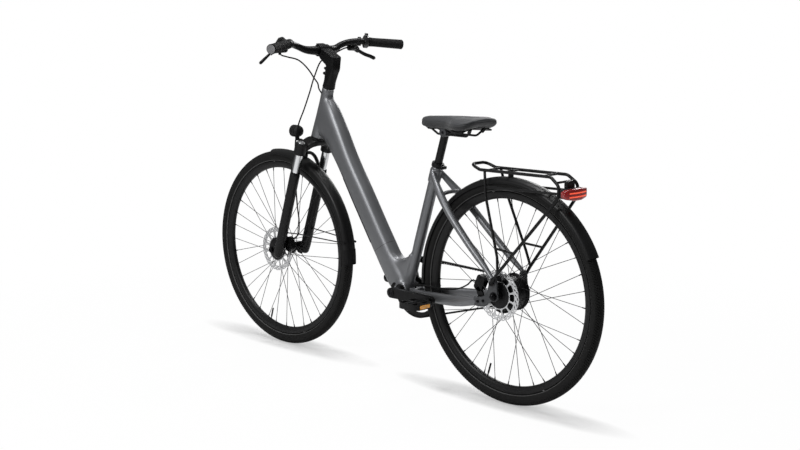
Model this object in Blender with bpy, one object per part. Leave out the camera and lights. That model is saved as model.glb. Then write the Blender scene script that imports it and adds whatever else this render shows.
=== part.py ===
"""Step-through electric city bike with belt drive, rear hub motor and suspension fork.

Metres. +X is forward, +Y is the rider's left, +Z is up. The tyres stand on z = 0 and the origin lies
on the floor half way between the axles. Each sub-part is one closed object.
"""

import math

import bmesh
import bpy
import numpy as np
from mathutils import Matrix, Vector
from mathutils.geometry import tessellate_polygon

# Driving dimensions
WHEEL_RADIUS = 0.356
WHEELBASE = 1.070
HEAD_ANGLE = math.radians(72.0)
SEAT_ANGLE = math.radians(72.9)
FORK_OFFSET = 0.051
AXLE_TO_CROWN = 0.457
HEAD_TUBE = 0.186
SEAT_TUBE_RADIUS = 0.0174
BRACKET_HEIGHT = 0.300
GAP = 0.0003

TYRE_WIDTH = 0.0416
RIM_OUTER = 0.3182
RIM_BED = 0.2950
WHEEL_FACETS = 32
SPOKES = 36
ROTOR_RADIUS = 0.080

BELT_PITCH = 0.011
BELT_TEETH = 122
FRONT_TEETH = 60
REAR_TEETH = 22
BELT_WIDTH = 0.012
BELT_LINE = -0.0465

CRANK_LENGTH = 0.175
CRANK_SIDE = 0.078
PEDAL_SIDE = 0.149

LEG_FORWARD = 0.010
LEG_SIDE = 0.0635
STANCHION_RADIUS = 0.0142

BAR_RADIUS = 0.0111

# Colours as red, green, blue, roughness, metallic
FRAME_GREY = (0.16, 0.165, 0.175, 0.38, 0.7)
SATIN_BLACK = (0.02, 0.02, 0.021, 0.45, 0.0)
ALLOY_BLACK = (0.03, 0.03, 0.032, 0.35, 0.6)
RUBBER = (0.022, 0.022, 0.022, 0.85, 0.0)
PLASTIC = (0.035, 0.036, 0.038, 0.6, 0.0)
STEEL = (0.55, 0.56, 0.57, 0.3, 1.0)
CHROME = (0.75, 0.76, 0.77, 0.12, 1.0)
SADDLE_GREY = (0.05, 0.052, 0.056, 0.7, 0.0)
RED_LENS = (0.6, 0.02, 0.02, 0.2, 0.0)
CLEAR_LENS = (0.8, 0.82, 0.85, 0.1, 0.0)


def vec(x, y, z):
    return np.array((x, y, z), float)


def unit(vector):
    return vector / np.linalg.norm(vector)


FRONT_AXLE = vec(WHEELBASE / 2, 0.0, WHEEL_RADIUS)
REAR_AXLE = vec(-WHEELBASE / 2, 0.0, WHEEL_RADIUS)
SIDE = vec(0.0, 1.0, 0.0)
STEER_UP = vec(-math.cos(HEAD_ANGLE), 0.0, math.sin(HEAD_ANGLE))
STEER_AHEAD = vec(math.sin(HEAD_ANGLE), 0.0, math.cos(HEAD_ANGLE))
LOWER_RACE = FRONT_AXLE - FORK_OFFSET * STEER_AHEAD + AXLE_TO_CROWN * STEER_UP
SEAT_UP = vec(-math.cos(SEAT_ANGLE), 0.0, math.sin(SEAT_ANGLE))
SEAT_AHEAD = vec(math.sin(SEAT_ANGLE), 0.0, math.cos(SEAT_ANGLE))

FRONT_PITCH_RADIUS = FRONT_TEETH * BELT_PITCH / math.tau
REAR_PITCH_RADIUS = REAR_TEETH * BELT_PITCH / math.tau


def belt_length(centres):
    """Length of an open belt round both pitch circles at this centre distance."""
    lean = math.asin((FRONT_PITCH_RADIUS - REAR_PITCH_RADIUS) / centres)
    straight = 2 * centres * math.cos(lean)
    wraps = math.pi * (FRONT_PITCH_RADIUS + REAR_PITCH_RADIUS)
    return straight + wraps + 2 * lean * (FRONT_PITCH_RADIUS - REAR_PITCH_RADIUS)


def centre_distance():
    """Centre distance at which the belt holds a whole number of teeth."""
    short, long = 0.40, 0.48
    for _ in range(60):
        middle = (short + long) / 2
        if belt_length(middle) < BELT_TEETH * BELT_PITCH:
            short = middle
        else:
            long = middle
    return (short + long) / 2


AXLE_DISTANCE = centre_distance()
BRACKET_DROP = WHEEL_RADIUS - BRACKET_HEIGHT
BRACKET = vec(REAR_AXLE[0] + math.sqrt(AXLE_DISTANCE ** 2 - BRACKET_DROP ** 2), 0.0, BRACKET_HEIGHT)


def steer(up, ahead=0.0, side=0.0):
    """Point given along the steering axis from the lower race, ahead of it and to the left."""
    return LOWER_RACE + up * STEER_UP + ahead * STEER_AHEAD + side * SIDE


def seat(up, ahead=0.0, side=0.0):
    """Point given along the seat tube from the bottom bracket, ahead of it and to the left."""
    return BRACKET + up * SEAT_UP + ahead * SEAT_AHEAD + side * SIDE


def mirrored(points):
    """The same points on the other side of the bike."""
    return [vec(p[0], -p[1], p[2]) for p in points]


# Mesh builders


def finish(obj, colour):
    material = bpy.data.materials.new(obj.name)
    material.use_nodes = True
    shader = material.node_tree.nodes["Principled BSDF"]
    shader.inputs["Base Color"].default_value = (*colour[:3], 1.0)
    shader.inputs["Roughness"].default_value = colour[3]
    shader.inputs["Metallic"].default_value = colour[4]
    obj.data.materials.append(material)
    return obj


def solid(name, verts, faces, colour=None, pivot=None):
    """Closed object from points and faces, with its origin on its pivot. Without a colour it is a tool."""
    origin = vec(0, 0, 0) if pivot is None else np.asarray(pivot, float)
    mesh = bpy.data.meshes.new(name)
    mesh.from_pydata([tuple(v) for v in np.asarray(verts, float) - origin], [], faces)
    work = bmesh.new()
    work.from_mesh(mesh)
    bmesh.ops.recalc_face_normals(work, faces=work.faces)
    work.to_mesh(mesh)
    work.free()
    mesh.shade_smooth()
    mesh.set_sharp_from_angle(angle=math.radians(35))
    obj = bpy.data.objects.new(name, mesh)
    obj.location = origin
    bpy.context.scene.collection.objects.link(obj)
    if colour is None:
        obj.hide_render = True
        obj.display_type = "WIRE"
        return obj
    return finish(obj, colour)


def boolean(target, operation, tools):
    for tool in tools:
        modifier = target.modifiers.new(tool.name, "BOOLEAN")
        modifier.operation = operation
        modifier.object = tool
        modifier.solver = "EXACT"
    return target


def fuse(target, *tools):
    return boolean(target, "UNION", tools)


def cut(target, *tools):
    return boolean(target, "DIFFERENCE", tools)


def joined(shapes):
    """Several (points, faces) shapes as one list of points and faces."""
    verts, faces, start = [], [], 0
    for points, polygons in shapes:
        verts.extend(points)
        faces.extend([tuple(i + start for i in polygon) for polygon in polygons])
        start += len(points)
    return verts, faces


def loft(rings, closed=False):
    """Skin over rings of equal count, with end caps unless the last ring joins the first."""
    rings = np.asarray(rings, float)
    count, around = rings.shape[:2]
    faces = []
    for i in range(count if closed else count - 1):
        here, there = i * around, ((i + 1) % count) * around
        for j in range(around):
            k = (j + 1) % around
            faces.append((here + j, here + k, there + k, there + j))
    if not closed:
        faces.append(tuple(range(around)))
        faces.append(tuple(range((count - 1) * around, count * around)))
    return rings.reshape(-1, 3), faces


def ellipse(centre, across, along, sides, power=2.0):
    """Ring of points round a centre; a power above 2 squares the oval off."""
    angles = math.tau * (np.arange(sides) + 0.5) / sides
    c, s = np.cos(angles), np.sin(angles)
    u = np.sign(c) * np.abs(c) ** (2 / power)
    v = np.sign(s) * np.abs(s) ** (2 / power)
    return np.asarray(centre) + np.outer(u, across) + np.outer(v, along)


def directions(points, reference):
    """Side and up vectors along a path, carried on from point to point without twist."""
    points = np.asarray(points, float)
    tangents = np.gradient(points, axis=0)
    tangents /= np.linalg.norm(tangents, axis=1)[:, None]
    side = unit(np.cross(reference, tangents[0]))
    frames = []
    for tangent in tangents:
        side = unit(side - tangent * np.dot(side, tangent))
        frames.append((side, np.cross(tangent, side)))
    return frames


def tube(points, width, height=None, sides=8, reference=(0.0, 0.0, 1.0), power=2.0):
    """Round or oval bar along a path; width and height are radii, one value or one for each point."""
    points = np.asarray(points, float)
    widths = np.broadcast_to(width, len(points))
    heights = widths if height is None else np.broadcast_to(height, len(points))
    frames = directions(points, np.asarray(reference, float))
    rings = [
        ellipse(p, frame[0] * w, frame[1] * h, sides, power)
        for p, frame, w, h in zip(points, frames, widths, heights)
    ]
    return loft(rings)


def curve_through(points, count):
    """Smooth path of count points through the given ones (Catmull-Rom)."""
    points = np.asarray(points, float)
    padded = np.vstack((2 * points[0] - points[1], points, 2 * points[-1] - points[-2]))
    lengths = np.concatenate(([0.0], np.cumsum(np.linalg.norm(np.diff(points, axis=0), axis=1))))
    out = []
    for distance in np.linspace(0.0, lengths[-1], count):
        i = min(int(np.searchsorted(lengths, distance, "right")) - 1, len(points) - 2)
        t = (distance - lengths[i]) / (lengths[i + 1] - lengths[i])
        a, b, c, d = padded[i:i + 4]
        out.append(0.5 * (2 * b + (c - a) * t + (2 * a - 5 * b + 4 * c - d) * t ** 2
                          + (3 * b - a - 3 * c + d) * t ** 3))
    return np.array(out)


def bent(points, radius, steps=3):
    """Path of straight runs with a bend of this radius at each inner corner."""
    points = [np.asarray(p, float) for p in points]
    path = [points[0]]
    for before, corner, after in zip(points, points[1:], points[2:]):
        back, ahead = unit(before - corner), unit(after - corner)
        half = math.acos(max(-1.0, min(1.0, float(np.dot(back, ahead))))) / 2
        reach = min(radius / math.tan(half), 0.49 * np.linalg.norm(before - corner),
                    0.49 * np.linalg.norm(after - corner))
        start, end = corner + back * reach, corner + ahead * reach
        for t in np.linspace(0.0, 1.0, steps + 1):
            path.append((1 - t) ** 2 * start + 2 * t * (1 - t) * corner + t ** 2 * end)
    path.append(points[-1])
    return np.array(path)


def turned(profile, centre, axis, segments, ring=False, turn=0.5):
    """Profile of (radius, height) points turned round an axis; a ring profile closes on itself."""
    axis = unit(np.asarray(axis, float))
    first = unit(np.cross(axis, (0.0, 0.0, 1.0) if abs(axis[2]) < 0.9 else (1.0, 0.0, 0.0)))
    second = np.cross(axis, first)
    angles = math.tau * (np.arange(segments) + turn) / segments
    outward = np.outer(np.cos(angles), first) + np.outer(np.sin(angles), second)
    rings = [np.asarray(centre) + radius * outward + height * axis for radius, height in profile]
    return loft(rings, closed=ring)


def rod(start, end, radius, sides=12):
    start, end = np.asarray(start, float), np.asarray(end, float)
    length = np.linalg.norm(end - start)
    return turned([(radius, 0.0), (radius, length)], start, end - start, sides)


def plate(loops, half, centre, right, up):
    """Flat plate from an outer outline and holes in the (right, up) plane, half thick each way."""
    right, up = np.asarray(right, float), np.asarray(up, float)
    out = np.cross(right, up)
    flat = [Vector((u, v, 0.0)) for loop in loops for u, v in loop]
    triangles = tessellate_polygon([[Vector((u, v, 0.0)) for u, v in loop] for loop in loops])
    base = np.array([np.asarray(centre) + p.x * right + p.y * up for p in flat])
    count = len(flat)
    verts = np.vstack((base - half * out, base + half * out))
    faces = [tuple(t) for t in triangles]
    faces += [tuple(i + count for i in reversed(t)) for t in triangles]
    start = 0
    for loop in loops:
        n = len(loop)
        for i in range(n):
            a, b = start + i, start + (i + 1) % n
            faces.append((a, b, b + count, a + count))
        start += n
    return verts, faces


def arc(radius, start, end, count, centre=(0.0, 0.0)):
    """Points on an arc, angles in degrees."""
    angles = np.radians(np.linspace(start, end, count))
    return [(centre[0] + radius * math.cos(a), centre[1] + radius * math.sin(a)) for a in angles]


def rounded(width, height, radius, steps=3):
    """Rounded rectangle outline round (0, 0)."""
    points = []
    for sx, sy, start in ((1, 1, 0), (-1, 1, 90), (-1, -1, 180), (1, -1, 270)):
        middle = (sx * (width / 2 - radius), sy * (height / 2 - radius))
        points += arc(radius, start, start + 90, steps, middle)
    return points


def block(name, size, centre, right, up, radius, colour=None, pivot=None, steps=3):
    """Rounded slab: size is (right, up, thickness)."""
    shape = plate([rounded(size[0], size[1], radius, steps)], size[2] / 2, centre, right, up)
    return solid(name, *shape, colour, pivot)


AHEAD = vec(1.0, 0.0, 0.0)
UP = vec(0.0, 0.0, 1.0)


def clear_scene():
    for obj in list(bpy.data.objects):
        bpy.data.objects.remove(obj)


# Frame

TUBE_RISE = math.radians(146.7)


def down_tube():
    """Deep oval tube that grows out of the head tube and curves into the lower node."""
    # centre x, centre z, half depth, lean of the section in degrees, half width
    sections = (
        (0.3130, 0.8640, 0.074, 108.0, 0.0250),
        (0.2900, 0.8440, 0.070, 112.0, 0.0285),
        (0.2500, 0.7960, 0.054, 124.0, 0.0305),
        (0.2150, 0.7410, 0.0450, 143.0, 0.0310),
        (0.1090, 0.5780, 0.0430, 146.5, 0.0315),
        (0.0035, 0.4185, 0.0430, 146.5, 0.0320),
        (-0.0330, 0.3660, 0.0440, 144.0, 0.0325),
        (-0.0640, 0.3270, 0.0440, 136.0, 0.0330),
        (-0.0900, 0.2960, 0.0340, 120.0, 0.0330),
        (-0.1020, 0.2740, 0.0200, 110.0, 0.0300),
    )
    rings = []
    for x, z, depth, lean, width in sections:
        along = vec(math.cos(math.radians(lean)), 0.0, math.sin(math.radians(lean)))
        rings.append(ellipse((x, 0.0, z), along * depth, SIDE * width, 12, 2.5))
    return loft(rings)


def valley():
    """Web that rounds the step-through opening where the down tube meets the seat tube."""
    radius = 0.029
    tube_out = vec(math.cos(TUBE_RISE), 0.0, math.sin(TUBE_RISE))
    tube_edge = vec(0.0035, 0.0, 0.4185) + 0.043 * tube_out
    seat_edge = seat(0.0, SEAT_TUBE_RADIUS - 0.0008)
    sides = np.array([tube_out[[0, 2]], SEAT_AHEAD[[0, 2]]])
    reach = [np.dot(tube_edge, tube_out) + radius, np.dot(seat_edge, SEAT_AHEAD) + radius]
    middle = np.linalg.solve(sides, reach)
    start = math.degrees(math.atan2(-tube_out[2], -tube_out[0]))
    end = math.degrees(math.atan2(-SEAT_AHEAD[2], -SEAT_AHEAD[0]))
    outline = [tuple(middle - (radius + 0.03) * tube_out[[0, 2]])]
    outline += arc(radius, start, end, 6, middle)
    outline += [tuple(middle - (radius + 0.014) * SEAT_AHEAD[[0, 2]]), (BRACKET[0], BRACKET[2] + 0.01),
                (-0.045, 0.330)]
    return plate([outline], 0.0212, (0.0, 0.0, 0.0), AHEAD, UP)


HOSE_WAY = (steer(0.1460, 0.0030, 0.0045), steer(0.1760, 0.0175, 0.0265))


def make_frame():
    tube_shell = solid("main_frame", *down_tube(), FRAME_GREY)
    head = solid("head_tube", *turned([(0.0250, 0.006), (0.0240, 0.03), (0.0220, 0.11), (0.0216, HEAD_TUBE)],
                                      LOWER_RACE, STEER_UP, 12))
    seat_tube = solid("seat_tube", *rod(seat(0.0), seat(0.438), SEAT_TUBE_RADIUS, 12))
    shell = solid("bracket_shell", *turned([(0.0245, -0.0365), (0.0245, 0.0365)], BRACKET, SIDE, 16, turn=0.0))
    web = solid("valley_web", *valley())
    head_bore = solid("head_bore", *rod(steer(-0.02), steer(HEAD_TUBE + 0.02), 0.0178, 10))
    cups = [
        solid("lower_cup_seat", *rod(steer(-0.01), steer(0.0163), 0.0214, 10)),
        solid("upper_cup_seat", *rod(steer(HEAD_TUBE - 0.0103), steer(HEAD_TUBE + 0.02), 0.0200, 10)),
    ]
    post_bore = solid("post_bore", *rod(seat(0.10), seat(0.46), 0.0134, 12))
    shell_bore = solid("bracket_bore", *turned([(0.0187, -0.06), (0.0187, 0.06)], BRACKET, SIDE, 10))
    bay = solid("battery_bay", *battery_bay(GAP, 0.06))
    hose_way = solid("hose_entry", *rod(HOSE_WAY[0], HOSE_WAY[1], 0.0036, 6))
    port = solid("port_recess", *charge_port(GAP, 0.0035))
    fuse(tube_shell, head, seat_tube, shell, web)
    cut(tube_shell, head_bore, *cups, post_bore, shell_bore, bay, hose_way, port)
    return tube_shell


BAY_START = vec(0.1680, 0.0, 0.6700)
BAY_END = vec(0.0050, 0.0, 0.4210)
BAY_ALONG = unit(BAY_END - BAY_START)
BAY_OUT = unit(np.cross(BAY_ALONG, SIDE))
BAY_LENGTH = float(np.linalg.norm(BAY_END - BAY_START))


def battery_bay(grow, out):
    """Straight-sided room in the down tube, open through its underside."""
    middle = (BAY_START + BAY_END) / 2
    inner, outer = -0.0230 - grow, 0.0230 + out
    centre = middle + BAY_OUT * (inner + outer) / 2
    outline = rounded(BAY_LENGTH + 2 * grow, 0.0400 + 2 * grow, 0.006, 3)
    return plate([outline], (outer - inner) / 2, centre, BAY_ALONG, SIDE)


PORT_CENTRE = vec(-0.0590, 0.0300, 0.3110)
PORT_ALONG = vec(0.01043, -0.0026, -0.01008)
PORT_HINGE = PORT_CENTRE - 1.06 * PORT_ALONG + vec(0.0, 0.0018, 0.0)


def charge_port(grow, depth):
    """Oval plug of the charging port on the left of the lower node, narrower at its inner end."""
    rings = []
    for inset, side in ((-0.0012, -depth), (0.0, -0.0005), (0.0, 0.0016), (-0.0020, 0.0030)):
        long = PORT_ALONG * (1 + (grow + inset) / 0.0145)
        short = (0.0065 + grow + inset) * vec(0.695, 0.0, 0.719)
        rings.append(ellipse(PORT_CENTRE + side * SIDE, long, short, 10))
    return loft(rings)


def make_frame_fittings():
    pack = solid("battery_pack", *battery_bay(0.0, 0.055), PLASTIC)
    keep = solid("tube_outline", *down_tube())
    boolean(pack, "INTERSECT", [keep])
    solid("charge_port_flap", *charge_port(0.0, 0.003), RUBBER, PORT_HINGE)
    for name, outer, up in (("lower", 0.0210, 0.0082), ("upper", 0.0196, HEAD_TUBE - 0.0098)):
        bearing = [(0.0151, 0.0), (outer, 0.0), (outer, 0.0070), (0.0151, 0.0070)]
        solid(f"headset_bearing_{name}", *turned(bearing, steer(up), STEER_UP, 10, ring=True), STEEL)
    cartridge = [(0.0100, -0.0400), (0.0225, -0.0400), (0.0225, -0.0368), (0.0182, -0.0368),
                 (0.0182, 0.0368), (0.0225, 0.0368), (0.0225, 0.0400), (0.0100, 0.0400)]
    solid("bottom_bracket", *turned(cartridge, BRACKET, SIDE, 10, ring=True), ALLOY_BLACK)
    collar = solid("seat_clamp", *turned([(0.0142, 0.0), (0.0205, 0.0), (0.0205, 0.0160), (0.0195, 0.0190),
                                          (0.0142, 0.0190)], seat(0.4385), SEAT_UP, 10, ring=True), SATIN_BLACK)
    lug = solid("clamp_lug", *rod(seat(0.447, -0.023, -0.011), seat(0.447, -0.023, 0.011), 0.0062, 6))
    outline = [(-0.004, -0.005), (0.006, -0.005), (0.006, 0.005), (-0.004, 0.005)]
    neck = solid("clamp_neck", *plate([outline], 0.0080, seat(0.447, -0.019), SEAT_AHEAD, SEAT_UP))
    outline = [(-0.03, -0.02), (-0.015, -0.02), (-0.015, 0.02), (-0.03, 0.02)]
    slot = solid("clamp_slot", *plate([outline], 0.0009, seat(0.447), SEAT_AHEAD, SEAT_UP))
    fuse(collar, neck, lug)
    cut(collar, slot)


# Rear triangle

STAY_PATH = (
    (-0.2210, 0.0170, 0.7080), (-0.2460, 0.0290, 0.6800), (-0.2840, 0.0440, 0.6400), (-0.3230, 0.0545, 0.6000),
    (-0.4060, 0.0640, 0.5200), (-0.4960, 0.0700, 0.4400), (-0.5290, 0.0745, 0.4110),
)


def make_seat_stays():
    path = curve_through(STAY_PATH, 9)
    sizes = np.interp(np.linspace(0, 1, 9), (0.0, 0.2, 0.8, 1.0), (0.0085, 0.0125, 0.0110, 0.0060))
    left = solid("seat_stays", *tube(path, sizes, sides=7, reference=(0, 1, 0)), FRAME_GREY)
    right = solid("stay_right", *tube(mirrored(path), sizes, sides=7, reference=(0, 1, 0)))
    bridge = solid("stay_bridge", *tube([(-0.2880, -0.0450, 0.6440), (-0.2860, 0.0, 0.6480),
                                         (-0.2880, 0.0450, 0.6440)], 0.0070, 0.0062, 8, (0, 0, 1)))
    top = solid("stay_top", *turned([(0.0202, 0.0), (0.0208, 0.01), (0.0208, 0.040), (0.0200, 0.046)],
                                    seat(0.3900), SEAT_UP, 12))
    room = solid("seat_tube_room", *rod(seat(0.30), seat(0.46), SEAT_TUBE_RADIUS + GAP, 12))
    fuse(left, right, bridge, top)
    cut(left, room)


CHAIN_STAY_PATH = (
    (-0.1420, 0.0210, 0.2975), (-0.1660, 0.0300, 0.2980), (-0.1950, 0.0330, 0.2995), (-0.2500, 0.0470, 0.3045),
    (-0.3500, 0.0620, 0.3120), (-0.4600, 0.0690, 0.3290),
)


def make_chain_stays():
    path = curve_through(CHAIN_STAY_PATH, 9)
    steps = np.linspace(0, 1, 9)
    widths = np.interp(steps, (0, 0.08, 0.18, 0.4, 0.9, 1), (0.0085, 0.0055, 0.0050, 0.0085, 0.0080, 0.0060))
    heights = np.interp(steps, (0.0, 0.2, 0.5, 0.8, 1.0), (0.0145, 0.0150, 0.0175, 0.0175, 0.0130))
    left = solid("chain_stays", *tube(path, widths, heights, 8, power=3.0), FRAME_GREY)
    right = solid("chain_stay_right", *tube(mirrored(path), widths, heights, 8, power=3.0))
    outline = rounded(0.0260, 0.0290, 0.004)
    yoke = solid("stay_yoke", *plate([outline], 0.0255, (-0.1390, 0.0, 0.2970), AHEAD, UP))
    reach = [(0.0245 + GAP, -0.05), (0.0245 + GAP, 0.05)]
    room = solid("bracket_room", *turned(reach, BRACKET, SIDE, 16, turn=0.0))
    post = solid("seat_tube_foot_room", *rod(seat(-0.01), seat(0.10), SEAT_TUBE_RADIUS + GAP, 12))
    node = solid("node_room", *tube_room())
    fuse(left, right, yoke)
    cut(left, room, post, node)


def tube_room():
    """Lower node grown by the gap that touching pieces keep."""
    verts, faces = down_tube()
    middle = vec(-0.0800, 0.0, 0.3000)
    return middle + (np.asarray(verts) - middle) * (1.0 + GAP / 0.020), faces


def dropout_outline():
    """Bolt-on dropout seen from the left, round the rear axle: hook shape with two mounting ends."""
    return [
        (0.013, -0.016), (0.030, -0.034), (0.052, -0.040), (0.078, -0.036), (0.082, -0.026), (0.078, -0.012),
        (0.056, -0.010), (0.034, 0.000), (0.024, 0.018), (0.018, 0.046), (0.008, 0.062), (-0.006, 0.060),
        (-0.010, 0.044), (-0.014, 0.016), (-0.017, 0.004), (-0.015, -0.008), (-0.006, -0.016),
    ]


def make_dropouts():
    for side, name in ((1, "left"), (-1, "right")):
        axle_hole = arc(0.0068, 0, 315, 8)
        holes = [axle_hole, arc(0.0030, 0, 300, 6, (0.042, -0.020))]
        slab = solid(f"dropout_{name}", *plate([dropout_outline()] + holes, 0.0032,
                                               REAR_AXLE + side * 0.0720 * SIDE, AHEAD, UP), ALLOY_BLACK)
        stay_end = np.asarray(CHAIN_STAY_PATH[-1]) * (1, side, 1)
        run = [stay_end + vec(0.02, 0, -0.0032), stay_end + vec(-0.0003, 0, 0)]
        stay_room = solid(f"stay_end_room_{name}", *tube(run, 0.0120, 0.0185, 8))
        seat_end = [np.asarray(p) * (1, side, 1) for p in STAY_PATH[-2:]]
        run = [seat_end[0], seat_end[1] + vec(-0.002, 0, -0.002)]
        seat_room = solid(f"seat_end_room_{name}", *tube(run, 0.0115, sides=10))
        cut(slab, stay_room, seat_room)


# Rear mudguard, rack and lights


def guard_rings(axle, start, end, count, flap=0.0):
    """Round-crowned mudguard carried round a wheel between two angles, in degrees from ahead."""
    section = (
        (0.3450, 0.0250), (0.3600, 0.0148), (0.3645, 0.0), (0.3600, -0.0148), (0.3450, -0.0250),
        (0.3450, -0.0232), (0.3582, -0.0134), (0.3627, 0.0), (0.3582, 0.0134), (0.3450, 0.0232),
    )
    rings = []
    for angle in np.linspace(start, end, count):
        grow = 0.0012 if flap and angle > end - flap else 0.0
        out = vec(math.cos(math.radians(angle)), 0.0, math.sin(math.radians(angle)))
        rings.append([axle + (r + grow) * out + SIDE * (y + grow * np.sign(y)) for r, y in section])
    return loft(rings)


RACK_HEIGHT = 0.7405
RACK_SIDE = 0.0385
RACK_TUBE = 0.0050


def make_rear_mudguard():
    guard = solid("rear_mudguard", *guard_rings(REAR_AXLE, -3.0, 154.0, 18), SATIN_BLACK)
    outline = rounded(0.0120, 0.0180, 0.003, 2)
    fuse(guard, solid("guard_tab", *plate([outline], 0.006, (-0.5350, 0.0, 0.7238), AHEAD, UP)))


def make_rack():
    foot = (-0.5310, 0.0830, 0.3985)
    left = [foot, (-0.5500, 0.0800, 0.4270), (-0.7540, 0.0470, 0.6800), (-0.7550, 0.0450, 0.7160),
            (-0.7200, 0.0400, RACK_HEIGHT), (-0.4420, RACK_SIDE, 0.7370), (-0.4030, 0.0340, 0.7510)]
    loop = bent(left + mirrored(left)[::-1], 0.022, 2)
    rack = solid("rear_rack", *tube(loop, RACK_TUBE, sides=5, reference=(0, 1, 0)), SATIN_BLACK)
    front_strut = [(-0.4620, RACK_SIDE, 0.7370), (-0.4770, 0.0500, 0.6600), (-0.5430, 0.0700, 0.4800),
                   (-0.5530, 0.0790, 0.4340)]
    rail = [(-0.4780, 0.0450, 0.6870), (-0.7550, 0.0455, 0.6940)]
    tools = []
    for side in (front_strut, mirrored(front_strut)):
        tools.append(solid("front_strut", *tube(side, 0.0042, sides=5, reference=(0, 1, 0))))
    for side in (rail, mirrored(rail)):
        tools.append(solid("lower_rail", *tube(side, 0.0040, sides=5, reference=(0, 1, 0))))
    for x, z in ((-0.4620, 0.7362), (-0.5350, 0.7374), (-0.6850, 0.7395), (-0.7460, 0.7260)):
        tools.append(solid("cross_bar", *rod((x, -0.0395, z), (x, 0.0395, z), 0.0036, 4)))
    for side in (1, -1):
        brace = rod((-0.5345, side * 0.0670, 0.5050), (-0.6120, side * 0.0705, 0.5000), 0.0038, 4)
        tools.append(solid("strut_brace", *brace))
        tools.append(solid("eyelet", *turned([(0.0075, -0.0030), (0.0075, 0.0030)],
                                             (-0.5310, side * 0.0830, 0.3965), SIDE, 6)))
    tools.append(solid("lamp_bridge", *rod((-0.7560, -0.0455, 0.6940), (-0.7560, 0.0455, 0.6940), 0.0040, 5)))
    outline = rounded(0.0440, 0.0480, 0.006, 2)
    tools.append(solid("lamp_plate", *plate([outline], 0.0060, (-0.7570, 0.0, 0.7060), SIDE, UP)))
    fuse(rack, *tools, make_tail_light())


def make_tail_light():
    """Wide rear lamp: black back plate on the rack and red lens with swept ends."""
    def ring(y, back, front, low, high):
        return [(back, y, low), (back, y, high), (front, y, high - 0.003), (front, y, low + 0.003)]

    half = ((0.0150, 0.0, 0.6740, 0.7095), (0.0440, 0.004, 0.6790, 0.7080), (0.0520, 0.010, 0.6850, 0.7030))
    stations = [(-y, *rest) for y, *rest in half[::-1]] + list(half)
    lens = [ring(y, -0.7770 + sweep, -0.7950 + 1.3 * sweep, low, high) for y, sweep, low, high in stations]
    base = [ring(y, -0.7620 + sweep, -0.7767 + sweep, low + 0.002, high - 0.001)
            for y, sweep, low, high in stations[1:-1]]
    solid("tail_light_lens", *loft(lens), RED_LENS)
    return solid("tail_light_housing", *loft(base))


# Wheels

FLAT = 1.0 / math.cos(math.pi / WHEEL_FACETS)


def wheel_ring(profile, axle):
    return turned([(r * FLAT, y) for r, y in profile], axle, SIDE, WHEEL_FACETS, ring=True)


def make_tyre(name, axle):
    """Tyre whose tread is flat across, so the facet under the axle rests on the floor."""
    r, half = WHEEL_RADIUS, TYRE_WIDTH / 2
    bead = RIM_OUTER + GAP
    profile = [(r, -0.0092), (r, 0.0092), (r - 0.0165, half), (bead, 0.0122), (bead, -0.0122),
               (r - 0.0165, -half)]
    solid(name, *wheel_ring(profile, axle), RUBBER, axle)


def make_rim(name, axle):
    profile = [(RIM_OUTER, -0.0122), (RIM_OUTER, 0.0122), (RIM_BED, 0.0065), (RIM_BED, -0.0065)]
    solid(name, *wheel_ring(profile, axle), SATIN_BLACK, axle)


def spokes(axle, hole_radius, flanges, crosses):
    """All spokes of a wheel, laced tangentially: every second spoke of a flange leans the other way."""
    shapes = []
    per_side = SPOKES // 2
    step = 360.0 / per_side
    end_radius = RIM_BED - 0.0005
    for side, flange in ((0, flanges[0]), (1, flanges[1])):
        for i in range(per_side):
            lean = 1 if i % 2 else -1
            hub_angle = math.radians(i * step + side * step / 2)
            rim_angle = math.radians(i * step + side * step / 2 + lean * crosses * step)
            inset = 0.0017 * lean
            rim_side = math.copysign(0.0026, flange) + 0.0012 * lean
            hub_out = vec(math.cos(hub_angle), 0, math.sin(hub_angle))
            rim_out = vec(math.cos(rim_angle), 0, math.sin(rim_angle))
            start = axle + hole_radius * hub_out + (flange + inset) * SIDE
            end = axle + end_radius * rim_out + rim_side * SIDE
            shapes.append(tube([start, end], 0.0012, sides=3, reference=SIDE))
    return joined(shapes)


def rotor(name, axle, side, hole, body_axle):
    """Disc rotor: wavy braking band, six leaning arms and a bolted centre."""
    outer = []
    for k in range(24):
        angle = math.tau * k / 24
        radius = ROTOR_RADIUS - 0.0008 * (1 - (-1) ** k)
        outer.append((radius * math.cos(angle), radius * math.sin(angle)))
    loops = [outer, arc(hole, 0, 315, 8)]
    for k in range(6):
        base = 60 * k
        loops.append(arc(0.0645, base, base + 46, 4) + arc(0.0270, base + 60, base + 36, 2))
    solid(name, *plate(loops, 0.0009, axle + side * SIDE, AHEAD, UP), STEEL, body_axle)


def make_front_wheel():
    make_tyre("front_tyre", FRONT_AXLE)
    make_rim("front_rim", FRONT_AXLE)
    profile = [(0.0056, -0.0534), (0.0105, -0.0534), (0.0105, -0.0380), (0.0265, -0.0362), (0.0265, -0.0312),
               (0.0132, -0.0270), (0.0132, 0.0130), (0.0265, 0.0170), (0.0265, 0.0222), (0.0180, 0.0345),
               (0.0105, 0.0345), (0.0105, 0.0534), (0.0056, 0.0534)]
    hub = turned(profile, FRONT_AXLE, SIDE, 10, ring=True)
    hub = solid("front_hub_and_spokes", *hub, ALLOY_BLACK, FRONT_AXLE)
    fuse(hub, solid("front_spokes", *spokes(FRONT_AXLE, 0.0240, (0.0196, -0.0337), 3)))
    rotor("front_brake_rotor", FRONT_AXLE, 0.0357, 0.0118, FRONT_AXLE)


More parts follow.
